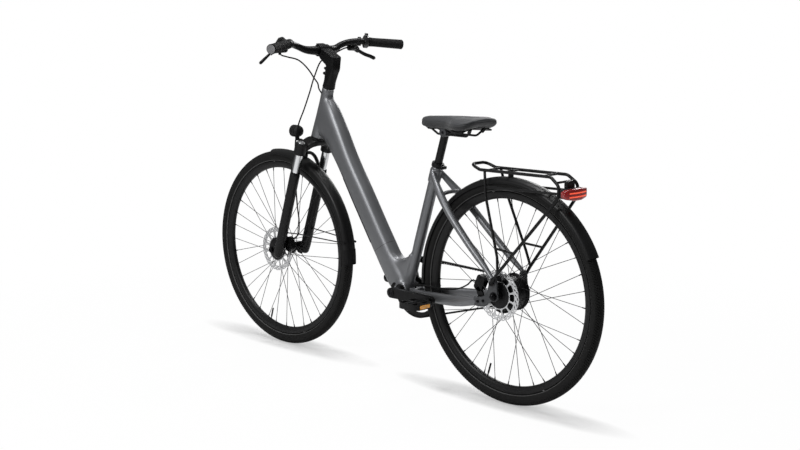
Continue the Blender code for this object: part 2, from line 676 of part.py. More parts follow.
def make_rear_wheel():
    make_tyre("rear_tyre", REAR_AXLE)
    make_rim("rear_rim", REAR_AXLE)
    profile = [(0.0072, 0.0540), (0.0118, 0.0540), (0.0118, 0.0490), (0.0225, 0.0490), (0.0225, 0.0410),
               (0.0440, 0.0390), (0.0590, 0.0348), (0.0590, 0.0296), (0.0530, 0.0270), (0.0530, -0.0230),
               (0.0590, -0.0250), (0.0590, -0.0300), (0.0480, -0.0300), (0.0480, 0.0290), (0.0072, 0.0330)]
    hub = turned(profile, REAR_AXLE, SIDE, 14, ring=True)
    hub = solid("rear_hub_and_spokes", *hub, ALLOY_BLACK, REAR_AXLE)
    fuse(hub, solid("rear_spokes", *spokes(REAR_AXLE, 0.0562, (0.0322, -0.0275), 2)))
    cover = [(0.0072, -0.0270), (0.0476, -0.0270), (0.0476, -0.0303), (0.0570, -0.0303), (0.0560, -0.0330),
             (0.0300, -0.0365), (0.0072, -0.0365)]
    solid("motor_side_cover", *turned(cover, REAR_AXLE, SIDE, 14, ring=True), ALLOY_BLACK, REAR_AXLE)
    rotor("rear_brake_rotor", REAR_AXLE, 0.0503, 0.0132, REAR_AXLE)
    core = [(0.0062, -0.0900), (0.0062, -0.0220), (0.0430, -0.0220), (0.0430, 0.0240), (0.0062, 0.0240),
            (0.0062, 0.0900)]
    motor = solid("motor_axle_and_stator", *turned(core, REAR_AXLE, SIDE, 10), STEEL)
    nuts = [solid("axle_nut", *turned([(0.0105, side * 0.0755), (0.0105, side * 0.0840)], REAR_AXLE, SIDE, 6))
            for side in (1, -1)]
    fuse(motor, *nuts)


# Belt drive

LAND_DEPTH = 0.0010
TIP_DEPTH = 0.0044
BELT_BACK = 0.0013
BELT_AHEAD = unit(BRACKET - REAR_AXLE)
BELT_UP = unit(vec(-BELT_AHEAD[2], 0.0, BELT_AHEAD[0]))
BELT_LEAN = math.asin((FRONT_PITCH_RADIUS - REAR_PITCH_RADIUS) / AXLE_DISTANCE)
FRONT_WRAP = FRONT_PITCH_RADIUS * (math.pi + 2 * BELT_LEAN)
REAR_WRAP = REAR_PITCH_RADIUS * (math.pi - 2 * BELT_LEAN)
STRAIGHT = AXLE_DISTANCE * math.cos(BELT_LEAN)
FIRST_TOOTH = BELT_PITCH / 2


def belt_outward(angle):
    return math.cos(angle) * BELT_AHEAD + math.sin(angle) * BELT_UP


def belt_point(distance, inset):
    """Point on the belt at a distance along its pitch line, from its top end on the front sprocket."""
    top = math.pi / 2 + BELT_LEAN
    distance %= BELT_TEETH * BELT_PITCH
    if distance < FRONT_WRAP:
        out = belt_outward(top - distance / FRONT_PITCH_RADIUS)
        point = BRACKET + FRONT_PITCH_RADIUS * out
    elif distance < FRONT_WRAP + STRAIGHT:
        out = belt_outward(-top)
        t = (distance - FRONT_WRAP) / STRAIGHT
        point = (1 - t) * (BRACKET + FRONT_PITCH_RADIUS * out) + t * (REAR_AXLE + REAR_PITCH_RADIUS * out)
    elif distance < FRONT_WRAP + STRAIGHT + REAR_WRAP:
        out = belt_outward(-top - (distance - FRONT_WRAP - STRAIGHT) / REAR_PITCH_RADIUS)
        point = REAR_AXLE + REAR_PITCH_RADIUS * out
    else:
        out = belt_outward(top)
        t = (distance - FRONT_WRAP - STRAIGHT - REAR_WRAP) / STRAIGHT
        point = (1 - t) * (REAR_AXLE + REAR_PITCH_RADIUS * out) + t * (BRACKET + FRONT_PITCH_RADIUS * out)
    place = point - inset * out
    return place[0], place[2]


def make_belt():
    """Toothed belt: a wedge of a tooth every pitch on the inner side, a smooth back."""
    rear_start, length = FRONT_WRAP + STRAIGHT, BELT_TEETH * BELT_PITCH
    back = [*np.linspace(0.0, FRONT_WRAP, 21), *np.linspace(rear_start, rear_start + REAR_WRAP, 12), length]
    inner = [k * BELT_PITCH / 2 for k in range(2 * BELT_TEETH + 1)]
    outline = [belt_point(d, -BELT_BACK) for d in back[:-1]]
    outline += [belt_point(d, TIP_DEPTH if k % 2 else LAND_DEPTH) for k, d in enumerate(inner[:-1])]
    outer_count, inner_count = len(back) - 1, len(inner) - 1
    count = outer_count + inner_count
    verts = [vec(x, BELT_LINE + side * BELT_WIDTH / 2, z) for side in (1, -1) for x, z in outline]
    faces = []
    i = j = 0
    while i < outer_count or j < inner_count:
        here, inside = i % outer_count, outer_count + j % inner_count
        if j == inner_count or (i < outer_count and back[i + 1] <= inner[j + 1]):
            i += 1
            step = (here, i % outer_count)
            faces.append((*step, inside))
        else:
            j += 1
            step = (inside, outer_count + j % inner_count)
            faces.append((*step, here))
        faces.append(tuple(v + count for v in faces[-1]))
        faces.append((*step, step[1] + count, step[0] + count))
    solid("drive_belt", verts, faces, RUBBER)


def sprocket_outline(teeth, pitch_radius, first_angle):
    """Toothed outline with a groove for each belt tooth, going round from the first groove."""
    points = []
    land = pitch_radius - LAND_DEPTH - 0.0005
    root = pitch_radius - TIP_DEPTH - 0.0007
    for k in range(teeth):
        middle = first_angle + math.tau * k / teeth
        for offset, radius in ((-0.5, land), (0.0, root)):
            place = radius * belt_outward(middle + offset * math.tau / teeth)
            points.append((place[0], place[2]))
    return points


def make_sprockets():
    top = math.pi / 2 + BELT_LEAN
    front = [sprocket_outline(FRONT_TEETH, FRONT_PITCH_RADIUS, top - FIRST_TOOTH / FRONT_PITCH_RADIUS)]
    front.append(arc(0.0196, 0, 330, 12))
    for k in range(5):
        base = 72 * k + 10
        front.append(arc(0.0880, base, base + 52, 4) + arc(0.0340, base + 42, base + 10, 2))
    solid("front_sprocket", *plate(front, 0.0045, BRACKET + BELT_LINE * SIDE, AHEAD, UP), ALLOY_BLACK, BRACKET)
    rear_start = FRONT_WRAP + STRAIGHT
    first = math.ceil((rear_start - FIRST_TOOTH) / BELT_PITCH)
    angle = -top - (FIRST_TOOTH + first * BELT_PITCH - rear_start) / REAR_PITCH_RADIUS
    rear = [sprocket_outline(REAR_TEETH, REAR_PITCH_RADIUS, angle), arc(0.0072, 0, 315, 8)]
    solid("rear_sprocket", *plate(rear, 0.0055, REAR_AXLE + BELT_LINE * SIDE, AHEAD, UP), STEEL, REAR_AXLE)


# Cranks and pedals


def capsule(start_radius, end_radius, length, steps=7):
    """Outline of an arm: two round ends joined by straight flanks, along +x."""
    lean = math.degrees(math.asin((start_radius - end_radius) / length))
    points = arc(start_radius, 90 - lean, 270 + lean, steps)
    return points + arc(end_radius, -90 + lean, 90 - lean, steps, (length, 0.0))


def make_crank(side):
    """Crank arm with its pedal spindle. The left arm points back and the right one ahead."""
    name = "left" if side > 0 else "right"
    along = -AHEAD if side > 0 else AHEAD
    arm = solid(f"crank_{name}", *plate([capsule(0.0165, 0.0140, CRANK_LENGTH, 6)], 0.0068,
                                        BRACKET + side * CRANK_SIDE * SIDE, along, UP), ALLOY_BLACK, BRACKET)
    pedal = BRACKET + along * CRANK_LENGTH
    spindle = rod(pedal + side * 0.0780 * SIDE, pedal + side * 0.1500 * SIDE, 0.0050, 8)
    inner, outer = BRACKET + side * 0.0420 * SIDE, BRACKET + side * 0.0870 * SIDE
    boss = rod(inner, outer, 0.0150 if side > 0 else 0.0189, 10)
    tools = [solid(f"pedal_spindle_{name}", *spindle), solid(f"crank_boss_{name}", *boss)]
    if side < 0:
        tools.append(solid("crank_spindle", *rod(BRACKET - 0.0450 * SIDE, BRACKET + 0.0416 * SIDE, 0.0094, 10)))
        spider = [(0.026, -0.0555), (0.026, -0.0515)]
        tools.append(solid("crank_spider", *turned(spider, BRACKET, SIDE, 12)))
    fuse(arm, *tools)


def make_pedal(side):
    """Platform pedal: barrel on the spindle, cage with four windows, reflectors at both ends."""
    name = "left" if side > 0 else "right"
    along = -AHEAD if side > 0 else AHEAD
    centre = BRACKET + along * CRANK_LENGTH + side * PEDAL_SIDE * SIDE
    windows = []
    w, h = 0.0100, 0.0150
    for ahead in (-0.0250, 0.0250):
        for out in (-0.0210, 0.0210):
            windows.append([(ahead + u, out + v) for u, v in ((-w, -h), (w, -h), (w, h), (-w, h))])
    outline = rounded(0.0860, 0.0880, 0.014, 2)
    cage = solid(f"pedal_{name}", *plate([outline] + windows, 0.0110, centre, AHEAD, SIDE), PLASTIC, centre)
    inner, outer = centre - side * 0.0520 * SIDE, centre + side * 0.0430 * SIDE
    bore = rod(centre - side * 0.0600 * SIDE, centre + side * 0.0040 * SIDE, 0.0058, 8)
    fuse(cage, solid(f"pedal_barrel_{name}", *rod(inner, outer, 0.0125, 6)))
    cut(cage, solid(f"pedal_bore_{name}", *bore))


# Suspension fork

LEG_TOP = -0.1360
STAY_END = vec(0.4482, 0.0635, 0.4300)
LAMP_HINGE = vec(0.4550, 0.0, 0.7600)
LAMP_CENTRE = vec(0.4570, 0.0, 0.7900)


def leg(up, side=1.0, ahead=LEG_FORWARD):
    """Point on the centre line of a fork leg."""
    return steer(up, ahead, side * LEG_SIDE)


def crown_ring(side, low, high, back, front):
    middle = steer((low + high) / 2, (back + front) / 2, side)
    return ellipse(middle, STEER_AHEAD * (front - back) / 2, STEER_UP * (high - low) / 2, 8, 4.0)


def make_fork_crown():
    """Crown with steerer, both stanchions, preload cap and lamp bracket."""
    half = [(0.0000, -0.0240, -0.0020, -0.0260, 0.0270), (0.0220, -0.0260, -0.0020, -0.0250, 0.0280),
            (0.0370, -0.0340, -0.0085, -0.0190, 0.0290), (0.0435, -0.0430, -0.0140, -0.0140, 0.0295),
            (0.0480, -0.0485, -0.0205, -0.0110, 0.0295), (0.0580, -0.0560, -0.0220, -0.0070, 0.0280)]
    stations = [(-y, *rest) for y, *rest in half[:0:-1]] + half
    crown = solid("fork_crown", *loft([crown_ring(*station) for station in stations]), SATIN_BLACK)
    race = [(0.0235, -0.0080), (0.0235, 0.0030), (0.0200, 0.0055)]
    tools = [solid("steerer", *rod(steer(-0.010), steer(0.228), 0.0143, 10)),
             solid("crown_race", *turned(race, LOWER_RACE, STEER_UP, 10))]
    sleeve = [(0.0210, -0.0620), (0.0210, -0.0220), (0.0200, -0.0200)]
    for side in (1, -1):
        tools.append(solid("crown_sleeve", *turned(sleeve, leg(0.0, side), STEER_UP, 10)))
        tools.append(solid("stanchion", *rod(leg(-0.3100, side), leg(-0.0400, side), STANCHION_RADIUS, 10)))
    cap = [(0.0130, -0.0210), (0.0130, -0.0170), (0.0115, -0.0155)]
    tools.append(solid("preload_cap", *turned(cap, leg(0.0), STEER_UP, 8)))
    tools.append(solid("knob_pin", *rod(leg(-0.0300, -1), leg(-0.0075, -1), 0.0030, 6)))
    arm = [steer(-0.0190, 0.0200), steer(-0.0235, 0.0400), (0.4180, 0.0, 0.7565), (0.4420, 0.0, 0.7590)]
    tools.append(solid("lamp_arm", *tube(arm, 0.0075, 0.0036, 6, (0, 0, 1), 4.0)))
    outline = [(-0.0170, -0.0030), (0.0, -0.0034), (0.0034, 0.0), (0.0, 0.0034), (-0.0170, 0.0030)]
    for side in (1, -1):
        tools.append(solid("lamp_ear", *plate([outline], 0.0010, LAMP_HINGE + side * 0.0068 * SIDE, AHEAD, UP)))
    tools.append(solid("lamp_pin", *rod(LAMP_HINGE - 0.0085 * SIDE, LAMP_HINGE + 0.0085 * SIDE, 0.0018, 6)))
    fuse(crown, *tools)


def arch_path():
    left = [(-0.1500, 0.0200, 0.0625), (-0.1180, 0.0340, 0.0590), (-0.0940, 0.0430, 0.0460),
            (-0.0800, 0.0450, 0.0260), (-0.0775, 0.0450, 0.0)]
    right = [(up, ahead, -side) for up, ahead, side in left[-2::-1]]
    return [steer(*p) for p in left + right]


def make_fork_lowers():
    """Sliding legs with bores for the stanchions, front arch and axle tabs."""
    profile = [(0.0168, LEG_TOP), (0.0180, LEG_TOP - 0.003), (0.0180, -0.4300), (0.0150, -0.4620),
               (0.0110, -0.4660)]
    lowers = solid("fork_lowers", *turned(profile, leg(0.0), STEER_UP, 10), SATIN_BLACK, steer(-0.457))
    tools = [solid("right_leg", *turned(profile, leg(0.0, -1), STEER_UP, 10)),
             solid("fork_arch", *tube(arch_path(), 0.0062, 0.0060, 8, (0, 1, 0), 2.6))]
    tab = [(-0.0360, -0.0180), (-0.0200, -0.0200), (0.0060, -0.0130), (0.0130, -0.0040), (0.0130, 0.0060),
           (0.0040, 0.0140), (-0.0200, 0.0260), (-0.0380, 0.0400)]
    for side in (1, -1):
        place = FRONT_AXLE + side * 0.0580 * SIDE
        tools.append(solid("axle_tab", *plate([tab], 0.0040, place, STEER_AHEAD, STEER_UP)))
    bores = [solid("leg_bore", *rod(leg(-0.4000, side), leg(-0.1000, side), STANCHION_RADIUS + 0.0005, 10))
             for side in (1, -1)]
    axle_bore = solid("axle_way", *rod(FRONT_AXLE - 0.09 * SIDE, FRONT_AXLE + 0.09 * SIDE, 0.0058, 8))
    fuse(lowers, *tools)
    cut(lowers, *bores, axle_bore)
    nut = [solid("front_nut", *turned([(0.0095, side * 0.0624), (0.0095, side * 0.0700)], FRONT_AXLE, SIDE, 6))
           for side in (1, -1)]
    axle = solid("front_axle", *rod(FRONT_AXLE - 0.0735 * SIDE, FRONT_AXLE + 0.0735 * SIDE, 0.0050, 8), STEEL)
    fuse(axle, *nut)


def make_front_mudguard():
    guard = solid("front_mudguard", *guard_rings(FRONT_AXLE, 82.6, 182.0, 12, flap=9.0), SATIN_BLACK)
    out = vec(math.cos(math.radians(108.9)), 0.0, math.sin(math.radians(108.9)))
    tools = [solid("guard_lug", *plate([rounded(0.0150, 0.0140, 0.003, 2)], 0.0070, FRONT_AXLE + 0.3685 * out,
                                       np.cross(SIDE, out), out))]
    for side in (1, -1):
        wire = [STAY_END * (1, side, 1), (0.4000, side * 0.0520, 0.4300), (0.2150, side * 0.0300, 0.4222),
                (0.1915, side * 0.0236, 0.4204)]
        tools.append(solid("guard_wire", *tube(bent(wire, 0.03, 1), 0.0021, sides=4)))
    fuse(guard, *tools)
    cut(guard, solid("arch_room", *tube(arch_path(), 0.0062 + GAP, 0.0060 + GAP, 8, (0, 1, 0), 2.6)))


def caliper(name, axle, angle, radius, inner, outer, rotor_side):
    """Two-piston caliper straddling a rotor, with the slot the rotor runs in."""
    out = vec(math.cos(math.radians(angle)), 0, math.sin(math.radians(angle)))
    round_way = vec(-out[2], 0, out[0])
    centre = axle + radius * out + (inner + outer) / 2 * SIDE
    body = block(name, (0.0500, 0.0320, outer - inner), centre, round_way, out, 0.008, SATIN_BLACK)
    slot = solid(f"{name}_slot", *turned([(ROTOR_RADIUS + 0.0016, rotor_side - 0.0016),
                                          (ROTOR_RADIUS + 0.0016, rotor_side + 0.0016)], axle, SIDE, 24))
    cut(body, slot)
    return body


def make_calipers():
    caliper("front_brake_caliper", FRONT_AXLE, 158.0, 0.0745, 0.0230, 0.0449, 0.0357)
    rear = caliper("rear_brake_caliper", REAR_AXLE, 24.0, 0.0755, 0.0410, 0.0640, 0.0503)
    lug = [(0.0420, -0.0180), (0.0560, -0.0220), (0.0720, -0.0120), (0.0840, 0.0160), (0.0700, 0.0200),
           (0.0520, -0.0020)]
    ear = solid("caliper_lug", *plate([lug], 0.0028, REAR_AXLE + 0.0612 * SIDE, AHEAD, UP))
    place = REAR_AXLE + vec(0.0540, 0.0600, -0.0150)
    foot = solid("caliper_foot", *rod(place, place + 0.0084 * SIDE, 0.0050, 8))
    fuse(rear, ear, foot)


# Cockpit


def bar_path():
    """Centre line of the riser bar from the right end to the left end."""
    start, along = vec(0.2850, 0.1900, 1.1050), unit(vec(-0.0550, 0.1150, -0.0110))
    left = [(0.3180, 0.0, 1.0800), (0.3180, 0.0300, 1.0800), (0.3280, 0.0700, 1.0840), (0.3330, 0.1000, 1.0950),
            (0.3270, 0.1300, 1.1035), (0.3115, 0.1550, 1.1070), tuple(start - 0.0180 * along), tuple(start)]
    smooth = list(curve_through(left, 11)) + [start + 0.1200 * along]
    return np.array(mirrored(smooth[::-1]) + smooth[1:])


def bar_radii(extra=0.0):
    path = bar_path()
    return np.interp(np.abs(path[:, 1]), (0.0, 0.034, 0.090), (0.0159, 0.0155, BAR_RADIUS)) + extra


def bar_tool(name, extra):
    """The bar grown by a gap, for boring everything that is clamped on it."""
    return solid(name, *tube(bar_path(), bar_radii(extra), sides=7))


def on_bar(side):
    """Point and direction of the bar at this distance to the left, negative to the right."""
    path = bar_path()
    place = vec(*(np.interp(side, path[:, 1], path[:, k]) for k in range(3)))
    before = vec(*(np.interp(side - 0.004, path[:, 1], path[:, k]) for k in range(3)))
    after = vec(*(np.interp(side + 0.004, path[:, 1], path[:, k]) for k in range(3)))
    return place, unit(after - before)


def clamp_ring(name, side, outer, half):
    place, along = on_bar(side)
    return solid(name, *turned([(outer, -half), (outer, half)], place, along, 9))


def make_stem():
    """One-piece stem: cone on the head tube, angled body, sheared flat top and bar clamp."""
    def ring(back, front, half, power):
        back, front = vec(back[0], 0, back[1]), vec(front[0], 0, front[1])
        return ellipse((back + front) / 2, SIDE * half, (front - back) / 2, 10, power)

    def across(up, back, front, half, power):
        low, high = steer(up, back), steer(up, front)
        return ring((low[0], low[2]), (high[0], high[2]), half, power)

    body = solid("stem", *loft([
        across(HEAD_TUBE + 0.0006, -0.0218, 0.0218, 0.0218, 2.0),
        across(HEAD_TUBE + 0.0040, -0.0218, 0.0218, 0.0218, 2.0),
        across(0.2150, -0.0200, 0.0205, 0.0200, 2.3),
        across(0.2400, -0.0195, 0.0210, 0.0190, 4.0),
        across(0.2620, -0.0210, 0.0225, 0.0190, 6.0),
        ring((0.2435, 1.0330), (0.2960, 1.0400), 0.0200, 7.0),
        ring((0.2425, 1.0450), (0.3160, 1.0580), 0.0210, 8.0),
        ring((0.2415, 1.0520), (0.3260, 1.0840), 0.0213, 8.0),
        ring((0.2410, 1.0560), (0.3310, 1.1040), 0.0215, 8.0),
    ]), ALLOY_BLACK)
    clamp = solid("bar_clamp", *turned([(0.0205, -0.0225), (0.0205, 0.0225)],
                                       (0.3180, 0.0, 1.0800), SIDE, 14))
    bolts = [solid("stem_bolt", *rod(steer(up, 0.0190), steer(up, 0.0290), 0.0058, 6))
             for up in (0.2305, 0.2484)]
    fuse(body, clamp, *bolts)
    bore = solid("steerer_bore", *rod(steer(0.15), steer(0.2290), 0.0150, 10))
    cut(body, bore, bar_tool("stem_bar_room", GAP))


def make_handlebar():
    solid("handlebar", *tube(bar_path(), bar_radii(), sides=7), ALLOY_BLACK)
    along = unit(vec(-0.0550, 0.1150, -0.0110))
    length = 0.1280
    profile = [(0.0117, length - 0.0045), (0.0117, 0.0), (0.0165, 0.0), (0.0165, 0.0050), (0.0156, 0.0180),
               (0.0164, 0.0650), (0.0172, length - 0.0040), (0.0150, length)]
    for name, side in (("left", 1), ("right", -1)):
        end = vec(0.2850, side * 0.1900, 1.1050)
        solid(f"grip_{name}", *turned(profile, end, along * (1, side, 1), 12), RUBBER)


def brake_points(side):
    """Ends of a master cylinder, lever pivot and tip, and the axis that a pull turns the lever about."""
    shift, drop = (0.0, 0.0) if side > 0 else (-0.0140, -0.0020)
    inner, pivot, tip = (vec(x, side * (y + shift), z + drop) for x, y, z in (
        (0.3300, 0.1500, 1.0870), (0.3450, 0.2080, 1.0770), (0.3250, 0.2690, 1.0470)))
    grip = vec(0.2470, side * (0.2690 + shift), 1.0980)
    axis = unit(np.cross(tip - pivot, grip - tip))
    reach = pivot - inner
    outer = pivot - 0.0140 * unit(reach - axis * np.dot(reach, axis))
    return inner, outer, pivot, tip, axis


def make_master(side, name):
    """Master cylinder clamped on the bar, with two ears and a pin for the lever."""
    inner, outer, pivot, _, axis = brake_points(side)
    clamp_side = 0.1780 if side > 0 else -0.1630
    place, _ = on_bar(clamp_side)
    run = [inner, inner + 0.12 * (outer - inner), outer]
    body = solid(f"brake_master_{name}", *tube(run, (0.0085, 0.0105, 0.0110), sides=8), SATIN_BLACK)
    arm_root = inner + (0.62 if side > 0 else 0.5) * (outer - inner)
    ring = clamp_ring("lever_clamp", clamp_side, 0.0160, 0.0055)
    arm = solid("clamp_arm", *tube([arm_root, place], (0.0075, 0.0070), (0.0075, 0.0050), 8, (0, 1, 0)))
    way = unit(pivot - outer)
    outline = capsule(0.0095, 0.0068, float(np.linalg.norm(pivot - outer)) + 0.002, 4)
    ears = [solid("lever_ear", *plate([outline], 0.0012, outer - 0.002 * way + offset * axis, way,
                                      np.cross(axis, way))) for offset in (0.0062, -0.0062)]
    pin = solid("lever_pin", *rod(pivot - 0.0078 * axis, pivot + 0.0078 * axis, 0.0020, 6))
    room = solid("lever_room", *turned([(0.0098, -0.0050), (0.0098, 0.0050)], pivot, axis, 9))
    fuse(body, ring, arm)
    cut(body, bar_tool(f"master_bar_room_{name}", GAP), room)
    fuse(body, *ears, pin)


def make_lever(side, name):
    """Two-finger lever blade on its pivot."""
    _, _, pivot, tip, axis = brake_points(side)
    lean = unit(tip - pivot)
    inward = np.cross(axis, lean)
    reach = tip - pivot
    blade = [pivot, pivot + 0.20 * reach - 0.0020 * inward, pivot + 0.50 * reach - 0.0030 * inward,
             pivot + 0.80 * reach, tip, tip + 0.0060 * lean - 0.0010 * inward]
    widths = (0.0050, 0.0062, 0.0056, 0.0054, 0.0054, 0.0034)
    heights = (0.0044, 0.0044, 0.0050, 0.0054, 0.0054, 0.0036)
    lever = solid(f"brake_lever_{name}", *tube(blade, widths, heights, 8, axis, 2.6), ALLOY_BLACK, pivot)
    fuse(lever, solid("lever_root", *turned([(0.0075, -0.0046), (0.0075, 0.0046)], pivot, axis, 10)))
    cut(lever, solid("lever_bore", *rod(pivot - 0.02 * axis, pivot + 0.02 * axis, 0.0025, 6)))


def make_hoses():
    """Brake hoses: rear brake hose in its two visible runs and the front brake hose."""
    inner, outer = brake_points(1)[:2]
    port = inner + 0.55 * (outer - inner) + vec(0.0, 0.0, -0.0124)
    steering = [port, port + vec(0.0010, -0.0050, -0.0040), (0.3400, 0.1450, 1.0620), (0.3390, 0.0880, 1.0465),
                (0.3270, 0.0510, 1.0090), (0.3170, 0.0400, 0.9850), steer(0.1960, 0.0240, 0.0330),
                HOSE_WAY[1], 0.25 * HOSE_WAY[0] + 0.75 * HOSE_WAY[1], 0.5 * HOSE_WAY[0] + 0.5 * HOSE_WAY[1]]
    solid("steering_hose", *tube(curve_through(steering, 17), 0.0025, sides=4), RUBBER)
    inner, outer = brake_points(-1)[:2]
    back = unit(inner - outer)
    front = [inner + 0.0016 * back, inner + 0.0130 * back, (0.339, -0.060, 1.060), (0.345, -0.020, 1.043),
             (0.358, 0.0, 0.993), (0.383, 0.004, 0.930), (0.405, 0.012, 0.869), (0.422, 0.022, 0.820),
             (0.429, 0.030, 0.770), (0.428, 0.036, 0.710), (0.421, 0.041, 0.620), (0.413, 0.042, 0.532),
             (0.404, 0.042, 0.462), (0.412, 0.041, 0.424), (0.438, 0.040, 0.407), (0.453, 0.0395, 0.401)]
    solid("front_brake_hose", *tube(curve_through(front, 23), 0.0025, sides=4), RUBBER)
    rear = [(-0.148, 0.018, 0.3142), (-0.148, 0.018, 0.320), (-0.164, 0.027, 0.329), (-0.200, 0.033, 0.333),
            (-0.279, 0.040, 0.336), (-0.370, 0.048, 0.352), (-0.410, 0.052, 0.372), (-0.434, 0.053, 0.390),
            (-0.4463, 0.053, 0.3846)]
    solid("rear_brake_hose", *tube(curve_through(rear, 12), 0.0025, sides=4), RUBBER)


BELL_SIDE = -0.1810


def make_bell():
    """Ring bell on the bar with a sprung striker on top."""
    place, along = on_bar(BELL_SIDE)
    top = unit(np.cross(along, vec(-1.0, 0.0, 0.0)))
    top = top if top[2] > 0 else -top
    rear = unit(np.cross(along, top))
    rear = rear if rear[0] < 0 else -rear
    shell = [(0.0185, -0.0065), (0.0226, -0.0065), (0.0226, 0.0065), (0.0185, 0.0065)]
    bell = solid("bell", *turned(shell, place, along, 12, ring=True), SATIN_BLACK)
    core = clamp_ring("bell_core", BELL_SIDE, 0.0150, 0.0055)
    spoke = solid("bell_spoke", *rod(place - 0.0130 * top, place - 0.0200 * top, 0.0040, 6))
    pivot = place + 0.0265 * top
    outline = capsule(0.0036, 0.0036, 0.0060, 3)
    ears = [solid("striker_ear", *plate([outline], 0.0008, pivot - 0.0060 * top + offset * along, top,
                                        np.cross(along, top))) for offset in (0.0036, -0.0036)]
    pin = solid("striker_pin", *rod(pivot - 0.0042 * along, pivot + 0.0042 * along, 0.0012, 6))
    fuse(bell, core, spoke, *ears, pin)
    cut(bell, bar_tool("bell_bar_room", GAP))
    arm = [pivot, pivot + 0.0060 * rear + 0.0006 * top, pivot + 0.0130 * rear - 0.0010 * top]
    striker = solid("bell_striker", *tube(arm, 0.0022, sides=6, reference=along), ALLOY_BLACK, pivot)
    root = solid("striker_root", *turned([(0.0030, -0.0024), (0.0030, 0.0024)], pivot, along, 10))
    profile = [(0.0020, -0.0032), (0.0034, -0.0014), (0.0034, 0.0014), (0.0020, 0.0032)]
    knob = solid("striker_knob", *turned(profile, arm[-1] + 0.0012 * rear, along, 6))
    fuse(striker, root, knob)
    cut(striker, solid("striker_bore", *rod(pivot - 0.01 * along, pivot + 0.01 * along, 0.0016, 6)))


REMOTE_SIDE = 0.1900
REMOTE_OUT = unit(vec(0.83, 0.0, 0.56))


def remote_frame():
    """Centre of the remote's box, and its along, outward and rider-facing directions."""
    place, along = on_bar(REMOTE_SIDE)
    out = unit(REMOTE_OUT - along * np.dot(REMOTE_OUT, along))
    face = np.cross(out, along)
    face = face if face[0] < 0 else -face
    return place + 0.0247 * out - 0.0035 * face, along, out, face


def make_remote():
    centre, along, out, face = remote_frame()
    box = block("remote_housing", (0.0400, 0.0160, 0.0200), centre, along, out, 0.0060, PLASTIC, steps=2)
    ring = clamp_ring("remote_clamp", 0.1560, 0.0155, 0.0050)
    ring_place, _ = on_bar(0.1560)
    run = [ring_place, ring_place + 0.0190 * out + 0.0040 * along, centre - 0.012 * along]
    arm = solid("remote_arm", *tube(run, 0.0065, 0.0045, 8, (0, 1, 0)))
    wells = []
    for name, offset in (("up", 0.0088), ("down", -0.0088)):
        middle = centre + offset * along + 0.0100 * face
        outline = rounded(0.0116, 0.0106, 0.002, 2)
        wells.append(solid(f"button_well_{name}", *plate([outline], 0.0056, middle, along, out)))
        size = (0.0110, 0.0100, 0.0050)
        block(f"remote_button_{name}", size, middle - 0.0006 * face, along, out, 0.002, RUBBER, middle, 2)
    fuse(box, ring, arm)
    cut(box, bar_tool("remote_bar_room", GAP), *wells)


def make_headlight():
    shell = [(0.0110, -0.0195), (0.0185, -0.0150), (0.0215, -0.0030), (0.0215, 0.0190), (0.0193, 0.0196),
             (0.0190, 0.0060)]
    housing = solid("headlight_housing", *turned(shell, LAMP_CENTRE, AHEAD, 14), SATIN_BLACK, LAMP_HINGE)
    neck = [(-0.0036, -0.0030), (0.0036, -0.0030), (0.0046, 0.0), (0.0090, 0.0110), (-0.0050, 0.0110),
            (-0.0046, 0.0)]
    fuse(housing, solid("lamp_neck", *plate([neck], 0.0052, LAMP_HINGE, AHEAD, UP)))
    cut(housing, solid("lamp_neck_bore", *rod(LAMP_HINGE - 0.02 * SIDE, LAMP_HINGE + 0.02 * SIDE, 0.0023, 6)))
    lens = [(0.0184, 0.0064), (0.0184, 0.0160), (0.0150, 0.0180), (0.0070, 0.0190)]
    solid("headlight_lens", *turned(lens, LAMP_CENTRE, AHEAD, 14), CLEAR_LENS, LAMP_HINGE)


def make_lockout_knob():
    """Lockout knob on top of the right leg, with a finger ridge."""
    profile = [(0.0150, -0.0194), (0.0155, -0.0120), (0.0140, -0.0070), (0.0090, -0.0060)]
    knob = solid("lockout_knob", *turned(profile, leg(0.0, -1), STEER_UP, 12), PLASTIC, leg(-0.0194, -1))
    outline = rounded(0.0280, 0.0090, 0.003)
    ridge = solid("knob_ridge", *plate([outline], 0.0025, leg(-0.0070, -1), STEER_AHEAD, STEER_UP))
    fuse(knob, ridge)
    cut(knob, solid("knob_bore", *rod(leg(-0.0300, -1), leg(-0.0070, -1), 0.0035, 8)))


# Seat

POST_HEAD = seat(0.5675, -0.0115)
# Saddle stations: distance ahead of the post head, half width, height of the top, depth, droop of the sides
SADDLE = (
    (0.1080, 0.0110, 0.0330, 0.0120, 0.0010), (0.1050, 0.0175, 0.0385, 0.0220, 0.0030),
    (0.0930, 0.0225, 0.0420, 0.0265, 0.0050), (0.0700, 0.0265, 0.0440, 0.0270, 0.0070),
    (0.0400, 0.0305, 0.0455, 0.0255, 0.0095), (0.0100, 0.0365, 0.0470, 0.0240, 0.0120),
    (-0.0200, 0.0455, 0.0480, 0.0240, 0.0145), (-0.0500, 0.0620, 0.0495, 0.0255, 0.0185),
    (-0.0750, 0.0780, 0.0505, 0.0270, 0.0210), (-0.1000, 0.0870, 0.0510, 0.0280, 0.0200),
    (-0.1200, 0.0860, 0.0515, 0.0290, 0.0170), (-0.1380, 0.0770, 0.0510, 0.0260, 0.0100),
    (-0.1480, 0.0620, 0.0505, 0.0190, 0.0050), (-0.1540, 0.0420, 0.0480, 0.0100, 0.0010),
)


